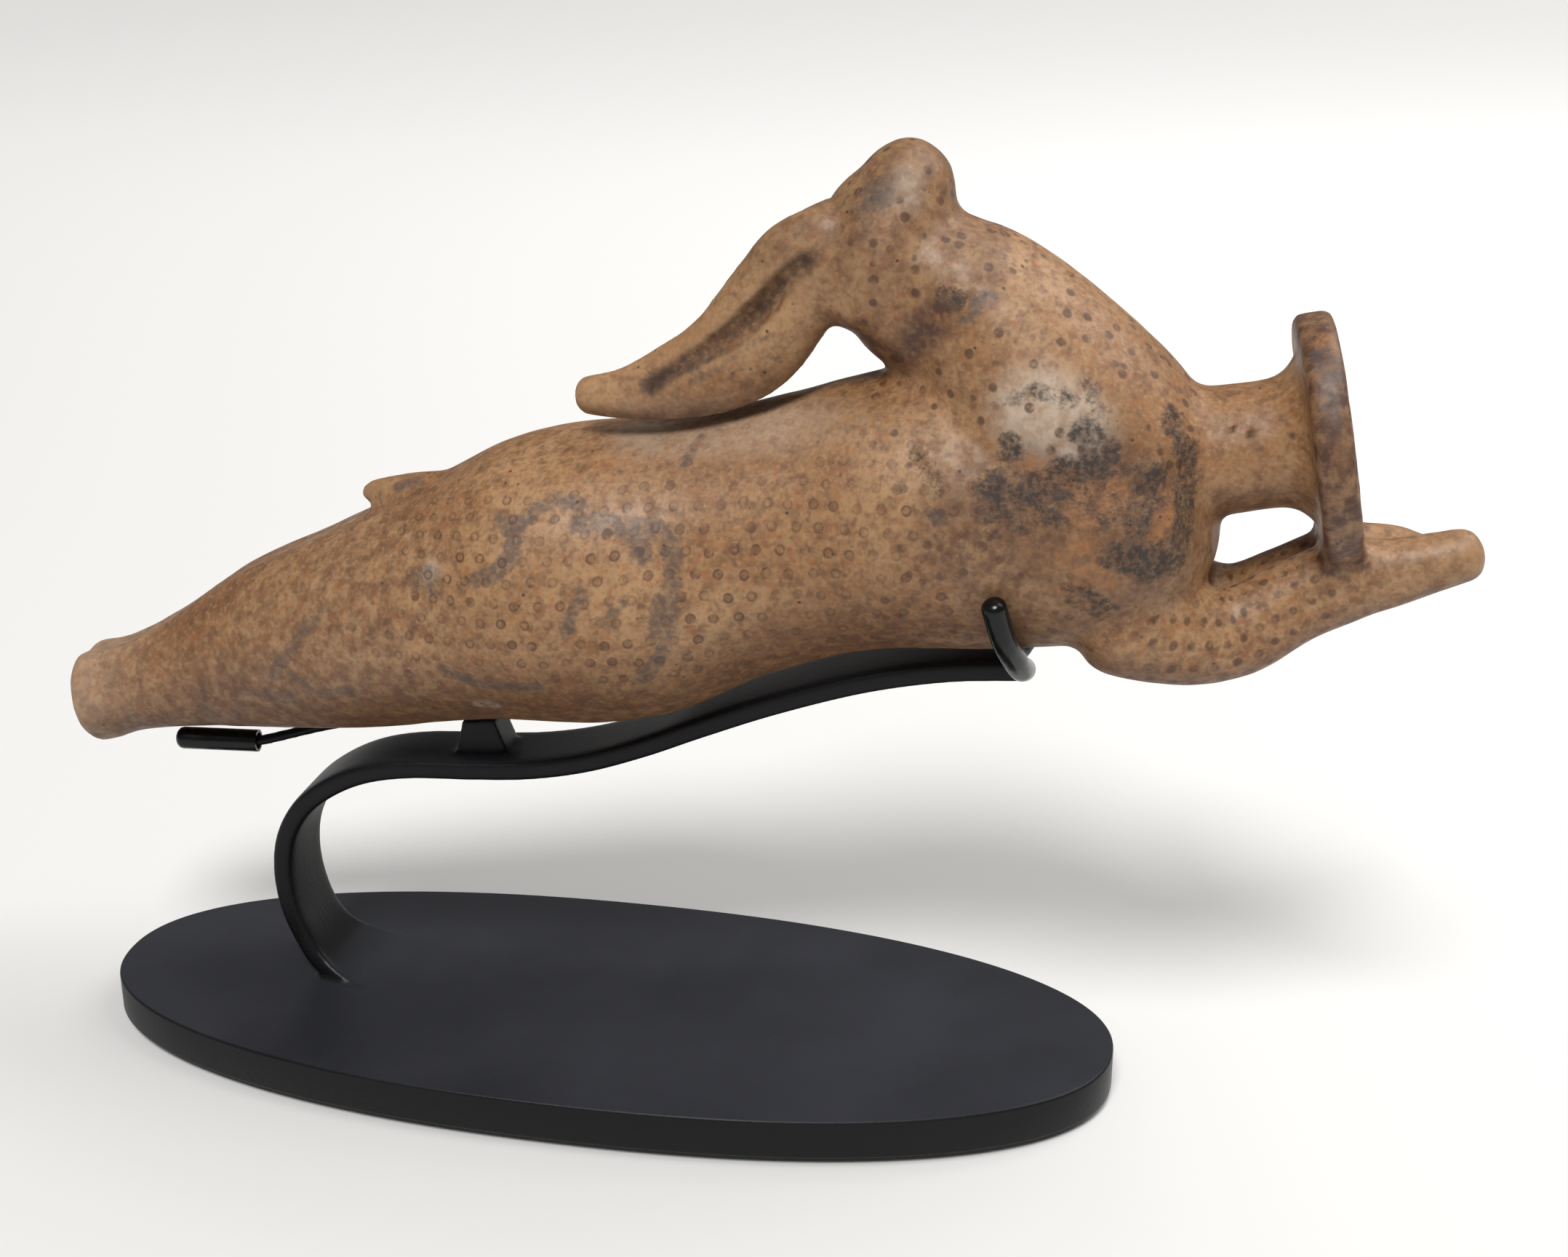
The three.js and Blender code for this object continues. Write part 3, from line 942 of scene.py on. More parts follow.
        # crust, soil and the painted crease shade are rougher than the burnished clay, crust stands up
        # and pits go in
        crust, pit = worn[1][0], worn[3][0]
        rough = add(tree, "MapRange", {0: grain["mottle"], 1: 0.3, 2: 0.7, 3: 0.44, 4: 0.62}, **SOFT)
        for amount, more in ((crust, 0.25), (share[Wear.SOIL_AND_SHADE], 0.4)):
            rough = add(tree, "Math", {0: amount, 1: more, 2: rough}, **TIMES_PLUS)
        height = add(tree, "Math", {0: grain["speck"], 1: 0.05}, **TIMES)
        for amount, more in ((grain["mottle"], 0.12), (pit, -0.12), (crust, 0.3)):
            height = add(tree, "Math", {0: amount, 1: more, 2: height}, **TIMES_PLUS)
        bump = add(tree, "Bump", {"Height": height, "Strength": 0.55, "Distance": 1.0 * MM})
        dressed = {"Base Color": colour, "Roughness": rough, "Normal": bump, "IOR": 1.5}
        add(tree, "OutputMaterial", {0: add(tree, "BsdfPrincipled", dressed)})
        return material


@dataclass(frozen=True)
class BlackEnamel:
    """Satin black enamel sprayed on mild steel: an even charcoal with a fine grain, and dust with painted
    light on the faces that look up.
    """

    black: str = "#07080B"
    dust_and_light: str = "#303137"
    roughness: tuple[float, float] = (0.35, 0.5)

    def material(self) -> bpy.types.Material:
        """The material, which reads Object coordinates.

        Returns:
            The material.
        """
        material, tree = new_material("satin black enamel on steel")
        place = add(tree, "TexCoord", {}, "Object")
        cloud = add(tree, "TexNoise", {"Vector": place, "Scale": per_mm(30.0), "Detail": 5.0})
        grain = add(tree, "TexNoise", {"Vector": place, "Scale": per_mm(0.7), "Detail": 2.0})
        # faces that look up get a lighter colour: dust, and painted light on the lit tops
        facing = add(tree, "NewGeometry", {}, "Normal")
        upward = add(tree, "SeparateXYZ", {0: facing}, 2)
        upward = add(tree, "MapRange", {0: upward, 1: 0.75, 2: 0.98, 3: 0.04, 4: 1.0})
        dust_and_light_share = add(tree, "MapRange", {0: cloud, 1: 0.3, 2: 0.7, 3: 0.55, 4: 1.0})
        dust_and_light_share = add(tree, "Math", {0: dust_and_light_share, 1: upward}, **TIMES)
        pair = {0: dust_and_light_share, 6: linear(self.black), 7: linear(self.dust_and_light)}
        colour = add(tree, "Mix", pair, 2, **COLOURS)
        least, most = self.roughness
        rough = add(tree, "MapRange", {0: cloud, 1: 0.3, 2: 0.7, 3: least, 4: most})
        bump = add(tree, "Bump", {"Height": grain, "Strength": 0.25, "Distance": 0.15 * MM})
        dressed = {"Base Color": colour, "Roughness": rough, "Normal": bump, "Specular IOR Level": 0.24}
        add(tree, "OutputMaterial", {0: add(tree, "BsdfPrincipled", dressed)})
        return material


@dataclass(frozen=True)
class SoftTubing:
    """Black polyolefin shrink tubing: smooth and glossier than the paint, with faint ripples."""

    black: str = "#070809"
    roughness: tuple[float, float] = (0.16, 0.32)

    def material(self) -> bpy.types.Material:
        """The material, which reads Object coordinates.

        Returns:
            The material.
        """
        material, tree = new_material("black shrink tubing")
        place = add(tree, "TexCoord", {}, "Object")
        ripple = add(tree, "TexNoise", {"Vector": place, "Scale": per_mm(3.0), "Detail": 2.0})
        least, most = self.roughness
        rough = add(tree, "MapRange", {0: ripple, 1: 0.3, 2: 0.7, 3: least, 4: most})
        bump = add(tree, "Bump", {"Height": ripple, "Strength": 0.3, "Distance": 0.3 * MM})
        dressed = {"Base Color": linear(self.black), "Roughness": rough, "Normal": bump}
        dressed |= {"Specular IOR Level": 0.3}
        add(tree, "OutputMaterial", {0: add(tree, "BsdfPrincipled", dressed)})
        return material


@dataclass(frozen=True)
class LinerFelt:
    """Thin black self-adhesive felt: matt, with a short nap."""

    black: str = "#0B0B0C"
    nap: str = "#26262A"

    def material(self) -> bpy.types.Material:
        """The material, which reads Object coordinates.

        Returns:
            The material.
        """
        material, tree = new_material("black felt liner")
        place = add(tree, "TexCoord", {}, "Object")
        nap = add(tree, "TexNoise", {"Vector": place, "Scale": per_mm(0.5), "Detail": 4.0})
        pair = {0: nap, 6: linear(self.black), 7: linear(self.nap)}
        colour = add(tree, "Mix", pair, 2, **COLOURS)
        bump = add(tree, "Bump", {"Height": nap, "Strength": 0.6, "Distance": 0.3 * MM})
        dressed = {"Base Color": colour, "Roughness": 0.95, "Normal": bump, "Sheen Weight": 0.3}
        add(tree, "OutputMaterial", {0: add(tree, "BsdfPrincipled", dressed)})
        return material


@dataclass(frozen=True)
class PaperSweep:
    """The floor: a matt sheet of white background paper, with painted shade where the room's light falls
    off: greyer to the left and near the lens.
    """

    white: str = "#F9F8F6"
    grey: str = "#DFDEDC"

    def material(self) -> bpy.types.Material:
        """The material, which reads Object coordinates.

        Returns:
            The material.
        """
        material, tree = new_material("white background paper")
        place = add(tree, "TexCoord", {}, "Object")
        tooth = add(tree, "TexNoise", {"Vector": place, "Scale": per_mm(2.0), "Detail": 3.0})
        bump = add(tree, "Bump", {"Height": tooth, "Strength": 0.05, "Distance": 0.1 * MM})
        x, y = (add(tree, "SeparateXYZ", {0: place}, k) for k in range(2))
        # painted shade: the paper is made greyer to the left and near the lens, where the room's light
        # falls off
        far = add(tree, "MapRange", {0: y, 1: 0.1, 2: 0.9}, **SOFT)
        right = add(tree, "MapRange", {0: x, 1: -0.9, 2: 0.5, 3: 0.35, 4: 1.0})
        share = add(tree, "Math", {0: far, 1: right}, **TIMES)
        pair = {0: share, 6: linear(self.grey), 7: linear(self.white)}
        colour = add(tree, "Mix", pair, 2, **COLOURS)
        dressed = {"Base Color": colour, "Roughness": 0.9, "Normal": bump}
        add(tree, "OutputMaterial", {0: add(tree, "BsdfPrincipled", dressed)})
        return material


# The hare

BODY_ROWS = (
    (-83.9, 0, 49.9, 8.1, 8.8, 0.16),
    (-79.7, 0, 50.8, 8.0, 8.6, 0.16),
    (-74.8, 0, 52.4, 7.9, 8.3, 0.15),
    (-65.1, 0, 55.7, 9.8, 9.6, 0.13),
    (-51.1, 0, 60.8, 13.9, 12.6, 0.1),
    (-36.1, 0, 65.3, 16.5, 16.0, 0.06),
    (-21.1, 0, 70.3, 18.4, 19.5, 0.02),
    (-6.1, 0, 74.8, 21.6, 22.5, 0),
    (6.9, 0, 77.3, 22.1, 21.5, 0),
    (20.9, 0, 81.6, 19.6, 18.6, 0),
    (34.9, 0, 86.1, 19.2, 17.6, 0),
    (48.9, 0, 89.2, 20.2, 19.0, 0),
    (61.9, 0, 89.9, 20.0, 18.9, 0),
    (74.9, 0, 90.2, 17.6, 19.4, 0),
    (84.9, 0, 91.2, 13.0, 14.5, 0),
    (89.9, 0, 92.2, 8.5, 9.5, 0),
)
THROAT_ROWS = (
    (76.9, 0, 90, 18, 17),
    (69.9, 0, 101.1, 16.6, 17.2),
    (62.9, 0, 110.1, 14.3, 15.5),
    (55.9, 0, 117.4, 12.2, 13),
    (49.5, 0, 122.9, 9.6, 10.8),
    (44.6, 0, 128.7, 6.6, 8.5),
)
NAPE_ROWS = (
    (58.9, 0, 108.2, 9, 9),
    (51.9, 0, 113.9, 8.6, 9.5),
    (45.4, 0, 118.7, 8.2, 10),
    (39.4, 0, 122.7, 7.6, 9.5),
)
HEAD_ROWS = (
    (38.9, 0, 114.2, 5.5, 7),
    (40.2, 0, 119.2, 8.6, 9.8),
    (42.4, 0, 124.7, 10.3, 10.8),
    (44.1, 0, 130.2, 9.1, 9.4),
    (45.5, 0, 135.2, 6.6, 7.3),
    (46.1, 0, 140.7, 4.3, 5.1),
)
NEAR_EAR_ROWS = (
    (39.9, -4.5, 127.1, 6.4, 4.6),
    (32.9, -4.7, 123.9, 7.2, 4.5),
    (29.3, -4.8, 119.2, 7.5, 4.4),
    (25.0, -4.9, 113.2, 7.6, 4.2),
    (20.9, -4.9, 109.9, 6.9, 3.9),
    (15.0, -4.9, 107.2, 5.6, 3.6),
    (7.0, -4.8, 104.7, 3.7, 3.2),
    (-0.6, -4.7, 104.0, 2.5, 2.4),
)
FAR_EAR_ROWS = (
    (39.9, 4.5, 127.1, 6.4, 4.6),
    (32.6, 4.7, 122.9, 7.0, 4.5),
    (29.0, 4.8, 118.2, 6.6, 4.4),
    (24.3, 4.9, 111.0, 6.1, 4.2),
    (19.0, 4.9, 107.8, 5.0, 3.9),
    (13.9, 4.9, 105.6, 3.9, 3.6),
    (8.6, 4.8, 104.0, 2.8, 3.0),
)
NEAR_HOLLOW_ROWS = (
    (34.4, -9.3, 126.2, 0.9, 1.0),
    (30.9, -9.8, 122.9, 1.5, 2.6),
    (27.6, -9.9, 119.0, 2.0, 3.4),
    (23.0, -9.7, 114.7, 2.0, 3.1),
    (17.2, -9.2, 111.0, 1.5, 2.2),
    (10.6, -8.4, 106.9, 0.9, 1.0),
)
FAR_HOLLOW_ROWS = (
    (35.5, 9.5, 125.7, 0.8, 0.8),
    (31.8, 9.8, 122.1, 1.9, 1.7),
    (27.7, 10.0, 117.3, 2.6, 2.3),
    (22.9, 9.9, 112.7, 2.4, 2.1),
    (16.9, 9.5, 108.3, 1.6, 1.5),
    (12.0, 8.9, 105.8, 0.9, 0.8),
)
FORELEG_ROWS = (
    (72.9, 8.6, 80.1, 8.4, 8.0),
    (78.9, 7.8, 77, 8.0, 7.3),
    (85.9, 6.2, 75.1, 7.2, 6.3),
    (92.9, 4.7, 75.6, 6.4, 5.4),
    (99.9, 3.7, 79.7, 5.8, 4.9),
    (106.9, 3.3, 83.4, 5.8, 4.7),
    (112.9, 3.0, 85, 4.8, 4.3),
    (118.9, 2.8, 87.0, 4.1, 4.0),
    (124.9, 2.5, 88.9, 3.5, 3.3),
)
FAR_PAW_ROWS = (
    (117.9, 3.4, 84.8, 3.6, 3.6),
    (121.9, 3.2, 85.6, 2.9, 3.0),
)
TAIL_ROWS = (
    (-19.1, 0, 87.2, 3.2, 4.2),
    (-26.1, 0, 86.7, 2.9, 3.7),
    (-31.1, 0, 86.4, 2.2, 2.9),
    (-35.5, 0, 86.1, 1.4, 1.9),
)
CHAMBER_NECK_ROWS = (
    (72.9, 0, 95.7, 9.5, 10.5),
    (65.9, 0, 104.7, 8.2, 9.5),
    (58.9, 0, 112.7, 6.0, 7.2),
)
NECK_PROFILE = (
    (9.9, -24),
    (9.1, -17),
    (8.7, -8.6),
    (9.2, -5.2),
    (11.1, -3),
    (12.7, -2),
    (12.7, 0),
)


# Wear that shows on the near side, and a few marks of the same kinds on the far side
MARKS = {
    Wear.STREAK: (
        Mark(1.5, 0.8, ((-5.8, -18.2, 88.3), (-2.9, -16.4, 90.9), (0.2, -15.7, 92.0),
                        (3.1, -16.0, 91.7))),
        Mark(1.7, 0.9, ((-7.7, -17.0, 89.3), (-5.3, -18.9, 87.4), (-6.1, -20.6, 83.9),
                        (-7.9, -20.9, 82.5), (-10.8, -20.7, 81.4))),
        Mark(2.6, 0.75, ((-19.9, -18.0, 79.9), (-18.0, -18.3, 79.9))),
        Mark(1.9, 0.8, ((3.6, -18.0, 89.3), (5.1, -17.6, 89.8), (8.8, -17.5, 89.5), (12.3, -18.2, 87.8),
                        (12.4, -18.9, 85.8))),
        Mark(1.6, 0.85, ((11.0, -17.4, 89.3), (14.2, -17.0, 89.7), (16.5, -17.7, 87.9),
                         (16.9, -18.5, 84.9), (16.7, -19.1, 81.7))),
        Mark(2.5, 0.9, ((15.9, -19.5, 79.0), (15.5, -19.5, 75.5))),
        Mark(1.6, 0.7, ((15.7, -19.6, 77.4), (15.5, -19.1, 72.6), (13.6, -18.6, 69.3),
                        (11.8, -18.3, 67.3))),
        Mark(1.3, 0.75, ((4.3, -21.4, 80.5), (3.2, -22.0, 77.3), (2.1, -22.2, 74.7))),
        Mark(1.1, 0.6, ((10.1, -20.7, 79.6), (7.9, -21.3, 76.2))),
        Mark(1.0, 0.75, ((18.4, -7.0, 99.6), (17.3, -9.8, 97.9), (16.9, -11.1, 96.8))),
        Mark(1.4, 0.65, ((-37.3, -14.8, 72.1), (-42.0, -14.5, 66.3), (-45.8, -13.6, 61.3))),
        Mark(1.8, 0.6, ((-49.3, -12.2, 57.3), (-44.1, -12.9, 57.4))),
        Mark(0.9, 0.7, ((-42.5, -14.4, 61.9), (-38.6, -14.2, 59.0), (-33.2, -15.4, 60.7))),
        Mark(1.0, 0.8, ((-17.2, -19.5, 67.2), (-12.8, -19.3, 65.1), (-8.0, -19.8, 65.1),
                        (-2.8, -20.1, 65.7))),
        Mark(1.6, 0.7, ((-28.5, -2.6, 88.8), (-26.0, -2.6, 89.0))),
        Mark(0.8, 0.65, ((-58.6, -10.8, 57.3), (-59.9, -8.2, 51.0))),
        Mark(1.9, 0.55, ((26.0, -8.9, 117.0), (20.3, -8.6, 112.4), (15.9, -8.4, 109.8),
                         (10.5, -8.0, 106.6))),
        Mark(0.8, 0.6, ((28.6, -8.7, 115.2), (23.4, -8.4, 111.6), (17.4, -8.5, 107.7))),
        Mark(2.5, 0.85, ((42.3, -7.4, 134.6), (41.6, -7.9, 132.8))),
        Mark(1.0, 0.9, ((43.9, -6.8, 136.2), (44.4, -8.2, 133.5))),
        Mark(1.6, 0.7, ((55.8, -12.5, 119.6), (58.0, -11.5, 122.1))),
        Mark(1.4, 0.8, ((53.2, -18.5, 94.0),)),
        Mark(2.2, 0.8, ((101.3, -9.0, 115.8), (102.5, -10.5, 113.8))),
        Mark(1.5, 0.7, ((102.8, -13.4, 110.0), (103.6, -14.2, 106.5))),
        Mark(1.6, 0.7, ((-9.0, 20.3, 84.0), (-2.0, 21.3, 82.0), (6.0, 20.8, 83.5), (13.0, 19.0, 81.0))),
        Mark(1.4, 0.6, ((-40.0, 14.6, 68.0), (-46.0, 13.4, 60.0))),
        Mark(1.2, 0.6, ((40.0, 17.5, 92.0), (46.0, 18.6, 84.0))),
        Mark(2.0, 0.8, ((30.3, 8.5, 121.0), (23.4, 8.2, 113.6), (15.0, 8.0, 108.6))),
        Mark(2.3, 0.7, ((42.3, 7.4, 134.6), (41.6, 7.9, 132.8))),
    ),
    Wear.PALE_AND_HIGHLIGHT: (
        Mark(1.8, 0.7, ((-18.6, -18.3, 81.2),)),
        Mark(1.2, 0.8, ((-13.0, -16.4, 60.6), (-10.8, -16.4, 60.4))),
        Mark(2.4, 0.55, ((47.0, -6.9, 136.0), (46.6, -7.7, 133.8))),
        Mark(0.6, 1.0, ((47.4, -7.0, 135.6), (46.9, -7.8, 133.6))),
        # painted highlight on the shoulder
        Mark(6.5, 0.9, ((65.1, -15.7, 108.4), (69.6, -15.9, 106.0))),
        # painted light along the back under the ears, where their shadow falls
        Mark(6.0, 0.42, ((10.0, -5.0, 99.5), (28.0, -6.0, 100.5), (44.0, -7.0, 99.5))),
    ),
    Wear.SOIL_AND_SHADE: (
        # painted shade in the near ear's groove
        Mark(1.8, 1.0, ((33.0, -9.4, 125.1), (28.9, -9.4, 121.3), (26.1, -9.2, 117.4),
                        (23.5, -9.0, 115.2))),
        Mark(1.4, 0.85, ((26.1, -9.0, 117.4), (21.3, -8.6, 113.6), (16.9, -8.4, 110.8),
                         (11.5, -8.0, 107.0))),
        Mark(0.7, 0.9, ((92.9, -7.4, 104.6),)),
        Mark(0.6, 0.8, ((90.6, -7.1, 104.9),)),
        Mark(0.6, 0.8, ((98.1, -8.2, 104.7),)),
        # painted shade in the far ear's groove
        Mark(1.4, 0.8, ((33.3, 8.8, 125.3), (27.6, 8.3, 118.2), (20.0, 8.2, 111.5))),
    ),
    Wear.UMBER_AND_SHADE: (
        # painted shade in the nape fold under the head
        Mark(3.4, 0.85, ((51.8, -11.6, 119.6), (48.0, -10.2, 115.5), (45.0, -7.6, 112.2),
                         (38.0, -7.0, 115.0))),
        Mark(1.6, 1.0, ((50.6, -11.0, 118.0), (46.6, -9.4, 113.4), (44.0, -6.6, 110.2))),
        Mark(12.0, 0.62, ((60.0, -17.0, 92.0), (74.0, -17.0, 97.0), (78.0, -15.0, 90.0))),
        Mark(5.0, 0.3, ((58.0, -17.0, 84.0), (66.0, -17.0, 82.0), (76.0, -17.0, 82.0))),
        Mark(2.2, 0.8, ((102.6, -14.4, 108.6), (104.4, -14.8, 96.5), (105.4, -9.0, 88.5))),
    ),
    Wear.CRUST: (
        Mark(1.6, 0.55, ((52.5, -11.5, 122.2), (54.0, -11.8, 121.6))),
        Mark(5.0, 0.5, ((60.6, -17.3, 96.0), (70.0, -17.5, 97.0), (80.0, -16.0, 99.0),
                        (81.5, -16.0, 90.0))),
        Mark(3.0, 0.8, ((60.6, -17.3, 98.2),)),
        Mark(2.4, 0.85, ((63.6, -17.7, 97.5), (68.2, -17.1, 100.1), (72.8, -17.0, 101.8),
                         (74.5, -16.4, 103.7), (72.1, -16.4, 106.0))),
        Mark(2.4, 0.75, ((62.2, -15.6, 103.2),)),
        Mark(1.7, 0.45, ((61.4, -15.2, 110.0), (63.8, -15.4, 110.9), (67.0, -15.3, 111.1),
                         (69.5, -15.5, 110.0))),
        Mark(1.6, 0.5, ((71.6, -14.1, 111.7), (73.7, -15.1, 108.2), (73.5, -16.2, 105.5))),
        Mark(2.6, 0.7, ((83.0, -10.0, 106.3), (84.7, -10.7, 101.6), (85.1, -11.1, 96.8),
                        (84.9, -13.6, 92.5), (84.3, -14.8, 88.8))),
        Mark(2.2, 0.75, ((80.7, -16.5, 94.2), (81.2, -14.3, 99.5))),
        Mark(3.0, 0.85, ((77.0, -17.8, 90.0), (81.5, -17.0, 89.3))),
        Mark(2.6, 0.6, ((75.2, -16.9, 81.7), (72.0, -18.0, 85.0))),
        Mark(1.6, 0.5, ((50.1, -15.4, 101.4), (52.5, -17.4, 97.7))),
        Mark(3.4, 0.7, ((66.0, 17.0, 98.0), (71.0, 17.2, 95.0), (77.0, 17.0, 93.0))),
    ),
    Wear.RUST: (
        Mark(1.2, 0.35, ((51.4, -11.9, 119.0), (53.6, -11.9, 119.7))),
        Mark(3.2, 1.0, ((72.7, -18.2, 96.7), (75.5, -17.6, 98.3))),
        Mark(2.0, 1.0, ((82.9, -14.4, 97.6), (82.4, -14.9, 95.8), (82.2, -16.1, 92.6))),
        Mark(2.6, 0.9, ((66.0, -17.0, 100.8), (69.0, -17.0, 100.2))),
        Mark(4.0, 0.5, ((74.6, -19.2, 87.6), (72.0, -19.0, 90.0))),
        Mark(1.6, 0.5, ((101.2, -6.0, 117.4), (102.4, -11.2, 113.0))),
        Mark(2.6, 0.6, ((70.0, 17.6, 90.0), (75.0, 17.6, 88.0))),
    ),
}


# A place round the body, far under the belly, that stands for a point on a foreleg
ON_LEG = -99.0


def outward(angle: Array, y: Array) -> Array:
    """The angle of a section as seen on its own side, 0 at mid-height there."""
    return np.where(y < 0, math.pi - angle, angle)


def one_turn(angle: Array) -> Array:
    """The angle between minus half a turn and half a turn."""
    return (angle + math.pi) % (2 * math.pi) - math.pi


@dataclass
class ClayHare:
    """The whole flask: one skin over body, head, ears, legs, tail, neck and mouth, with its hollow."""

    finish: FiredClay = field(default_factory=FiredClay)
    mouth: Turning = Turning((103.2, 0.9, 101.8), 10.9, 3.5)
    voxel: float = 0.7
    wall: float = 3.8
    disc_radius: float = 17.3
    disc_thickness: float = 5.2
    disc_rounding: float = 1.1
    neck_above_disc: float = 0.7
    bore_radius: float = 5.2
    bore_depth: float = 34.0
    bore_past_face: float = 4.0
    lip_flare: float = 1.5
    hand_lumps: tuple[tuple[float, float], ...] = ((9.0, 0.16), (3.0, 0.05))

    body: Tube = Tube(BODY_ROWS, (2.2, 7.0), Outline.PAIR_OF_LEGS)
    throat: Tube = Tube(THROAT_ROWS, (8.0, 5.0))
    nape: Tube = Tube(NAPE_ROWS, (4.0, 7.0))
    head: Tube = Tube(HEAD_ROWS, (4.0, 4.2))
    ears: tuple[Tube, Tube] = (Tube(NEAR_EAR_ROWS, (3.0, 1.8)), Tube(FAR_EAR_ROWS, (3.0, 3.0)))
    ear_hollows: tuple[Tube, Tube] = (
        Tube(NEAR_HOLLOW_ROWS, (1.0, 1.0)),
        Tube(FAR_HOLLOW_ROWS, (1.0, 1.0)),
    )
    foreleg: Tube = Tube(FORELEG_ROWS, (6.5, 2.4))
    far_foreleg: Tube = Tube(FORELEG_ROWS[:-2] + FAR_PAW_ROWS, (6.5, 3.0))
    tail: Tube = Tube(TAIL_ROWS, (2.0, 2.2))

    def skin(self) -> bpy.types.Object:
        """All the forms as one skin, before it is smoothed.

        Returns:
            The skin.
        """
        profile = catmull_rom(np.array(NECK_PROFILE, float), np.linspace(0.0, 1.0, 50))
        profile = np.vstack([[0.0, profile[0, 1]], profile, [0.0, 0.0]])
        disc = rounded_profile(self.disc_radius, self.disc_thickness / 2, self.disc_rounding)
        forms = (
            self.body.surface(1.0, 96)
            + self.throat.surface(1.0, 80)
            + self.nape.surface(1.0, 64)
            + self.head.surface(0.8, 64)
            + self.far_foreleg.surface(0.8, 56)
            + self.foreleg.mirrored().surface(0.8, 56)
            + self.tail.surface(0.6, 40)
            + self.mouth.surface(profile, 96, self.neck_above_disc)
            + self.mouth.surface(disc, 128)
        )
        for ear, hollow in zip(self.ears, self.ear_hollows):
            shell = piece("ear", ear.surface(0.6, 56))
            combine(shell, piece("ear hollow", hollow.surface(0.5, 32)), Cut.CUT)
            cut = [list(polygon.vertices) for polygon in shell.data.polygons]
            forms = forms + Surface(points_of(shell.data), cut)
            bpy.data.objects.remove(shell)
        return remeshed(piece("clay_hare", forms), self.voxel)

    def soften(self, mesh: bpy.types.Mesh) -> None:
        """Fills the creases between the forms, as a finger does in soft clay.

        A point lies in a crease as far as its neighbourhood's mean lies outside it. There the surface
        runs into its neighbours for many rounds. Under the ears, at the tail and round the mouth, where
        one form only rests on another, the crease stays crisp.

        Args:
            mesh: the mesh.
        """
        edges = edges_of(mesh)
        points = spread(points_of(mesh), edges, 3, 0.5)
        hollow = ((spread(points, edges, 8) - points) * normals_of(mesh)).sum(1)
        crease = np.clip(spread(smooth_step(hollow, 0.06, 0.2), edges, 4) * 1.6, 0.0, 1.0)
        x, _, z = points.T
        crisp = smooth_step(x, 84.0, 92.0)
        crisp = np.maximum(crisp, smooth_step(z, 96.0, 98.5) * (1 - smooth_step(x, 34.0, 40.0)))
        crisp = np.maximum(crisp, smooth_step(-x, 18.0, 24.0) * smooth_step(z, 80.0, 83.0) * 0.7)
        points = spread(points, edges, 26, crease * 0.6 * (1 - 0.92 * crisp))
        for seed, (size, height) in enumerate(self.hand_lumps, 1):
            points = points + normals_of(mesh) * height * lumps(points, size, seed)[:, None]
        move_points(mesh, points)

    def hollow_out(self, made: bpy.types.Object) -> None:
        """Cuts the chamber and the way in through the neck and mouth.

        Args:
            made: the hare.
        """
        chamber = self.body.thinner(self.wall, 4, -1, (8.0, 6.0)).surface(2.0, 48)
        chamber = chamber + Tube(CHAMBER_NECK_ROWS, (5.0, 5.0)).surface(2.0, 40)
        combine(made, remeshed(piece("chamber", chamber), 1.6), Cut.CUT)
        face, radius, flare = self.disc_thickness / 2, self.bore_radius, self.lip_flare
        turn = np.radians(np.linspace(0.0, 90.0, 9))
        lip = np.stack([radius + flare * (1 - np.cos(turn)), face - flare * (1 - np.sin(turn))], axis=1)
        start, end = -self.bore_depth, face + self.bore_past_face
        profile = np.vstack([[0, start], [radius, start], lip, [radius + flare, end], [0, end]])
        combine(made, piece("bore", self.mouth.surface(profile, 72)), Cut.CUT)

    def keep_rows(self, mesh: bpy.types.Mesh, points: Array, body: Nearness) -> Array:
        """Keeps each point's place along and round the body, for the painted rows.

        On the body the rows run level along the flank, so the place round it is the arc from a level
        line, which is the angle between them times the mean of the half height and half width. On a
        foreleg it is the arc from the leg's own middle line.

        Args:
            mesh: the mesh.
            points: its points.
            body: where they lie beside the body.

        Returns:
            The place round the body, below 0 under the level line, and ON_LEG on a foreleg.
        """
        x, y = points[:, 0], points[:, 1]
        near, far = self.foreleg.mirrored().near(points), self.far_foreleg.near(points)
        leg_angle = np.where(y < 0, near.angle, far.angle)
        on_leg = (np.minimum(near.depth(), far.depth()) < body.depth() - 0.3) & (x > 74.0)
        _, centre, _, _ = self.body.spine()
        rise = 78.0 + 0.07 * (x - 10.0) - np.interp(x, centre[:, 0], centre[:, 2])
        level = np.arcsin(np.clip(rise / body.tall, -0.9, 0.9))
        girth = (one_turn(outward(body.angle, y)) - level) * 0.5 * (body.tall + body.wide)
        leg_girth = one_turn(outward(leg_angle, y)) * 6.0
        along = np.where(on_leg, np.where(y < 0, near.along, far.along), x)
        around = np.where(on_leg, leg_girth, girth)
        give_values(mesh, "rows", np.stack([along, around, np.sign(y)], axis=1))
        return np.where(on_leg, ON_LEG, girth)

    def dress(self, mesh: bpy.types.Mesh) -> None:
        """Works out where the painted rows, the wear, the soil, the painted shade and the painted
        highlights lie, for the material to read.

        A share goes from 0 to 1 between the two places, in millimetres, that its smooth_step names, and
        the number that it is then multiplied by is the most of it that shows.

        Args:
            mesh: the mesh.
        """
        edges, points, normals = edges_of(mesh), points_of(mesh), normals_of(mesh)
        body = self.body.near(points)
        girth = self.keep_rows(mesh, points, body)
        x, y, z = points.T
        on_leg = girth == ON_LEG

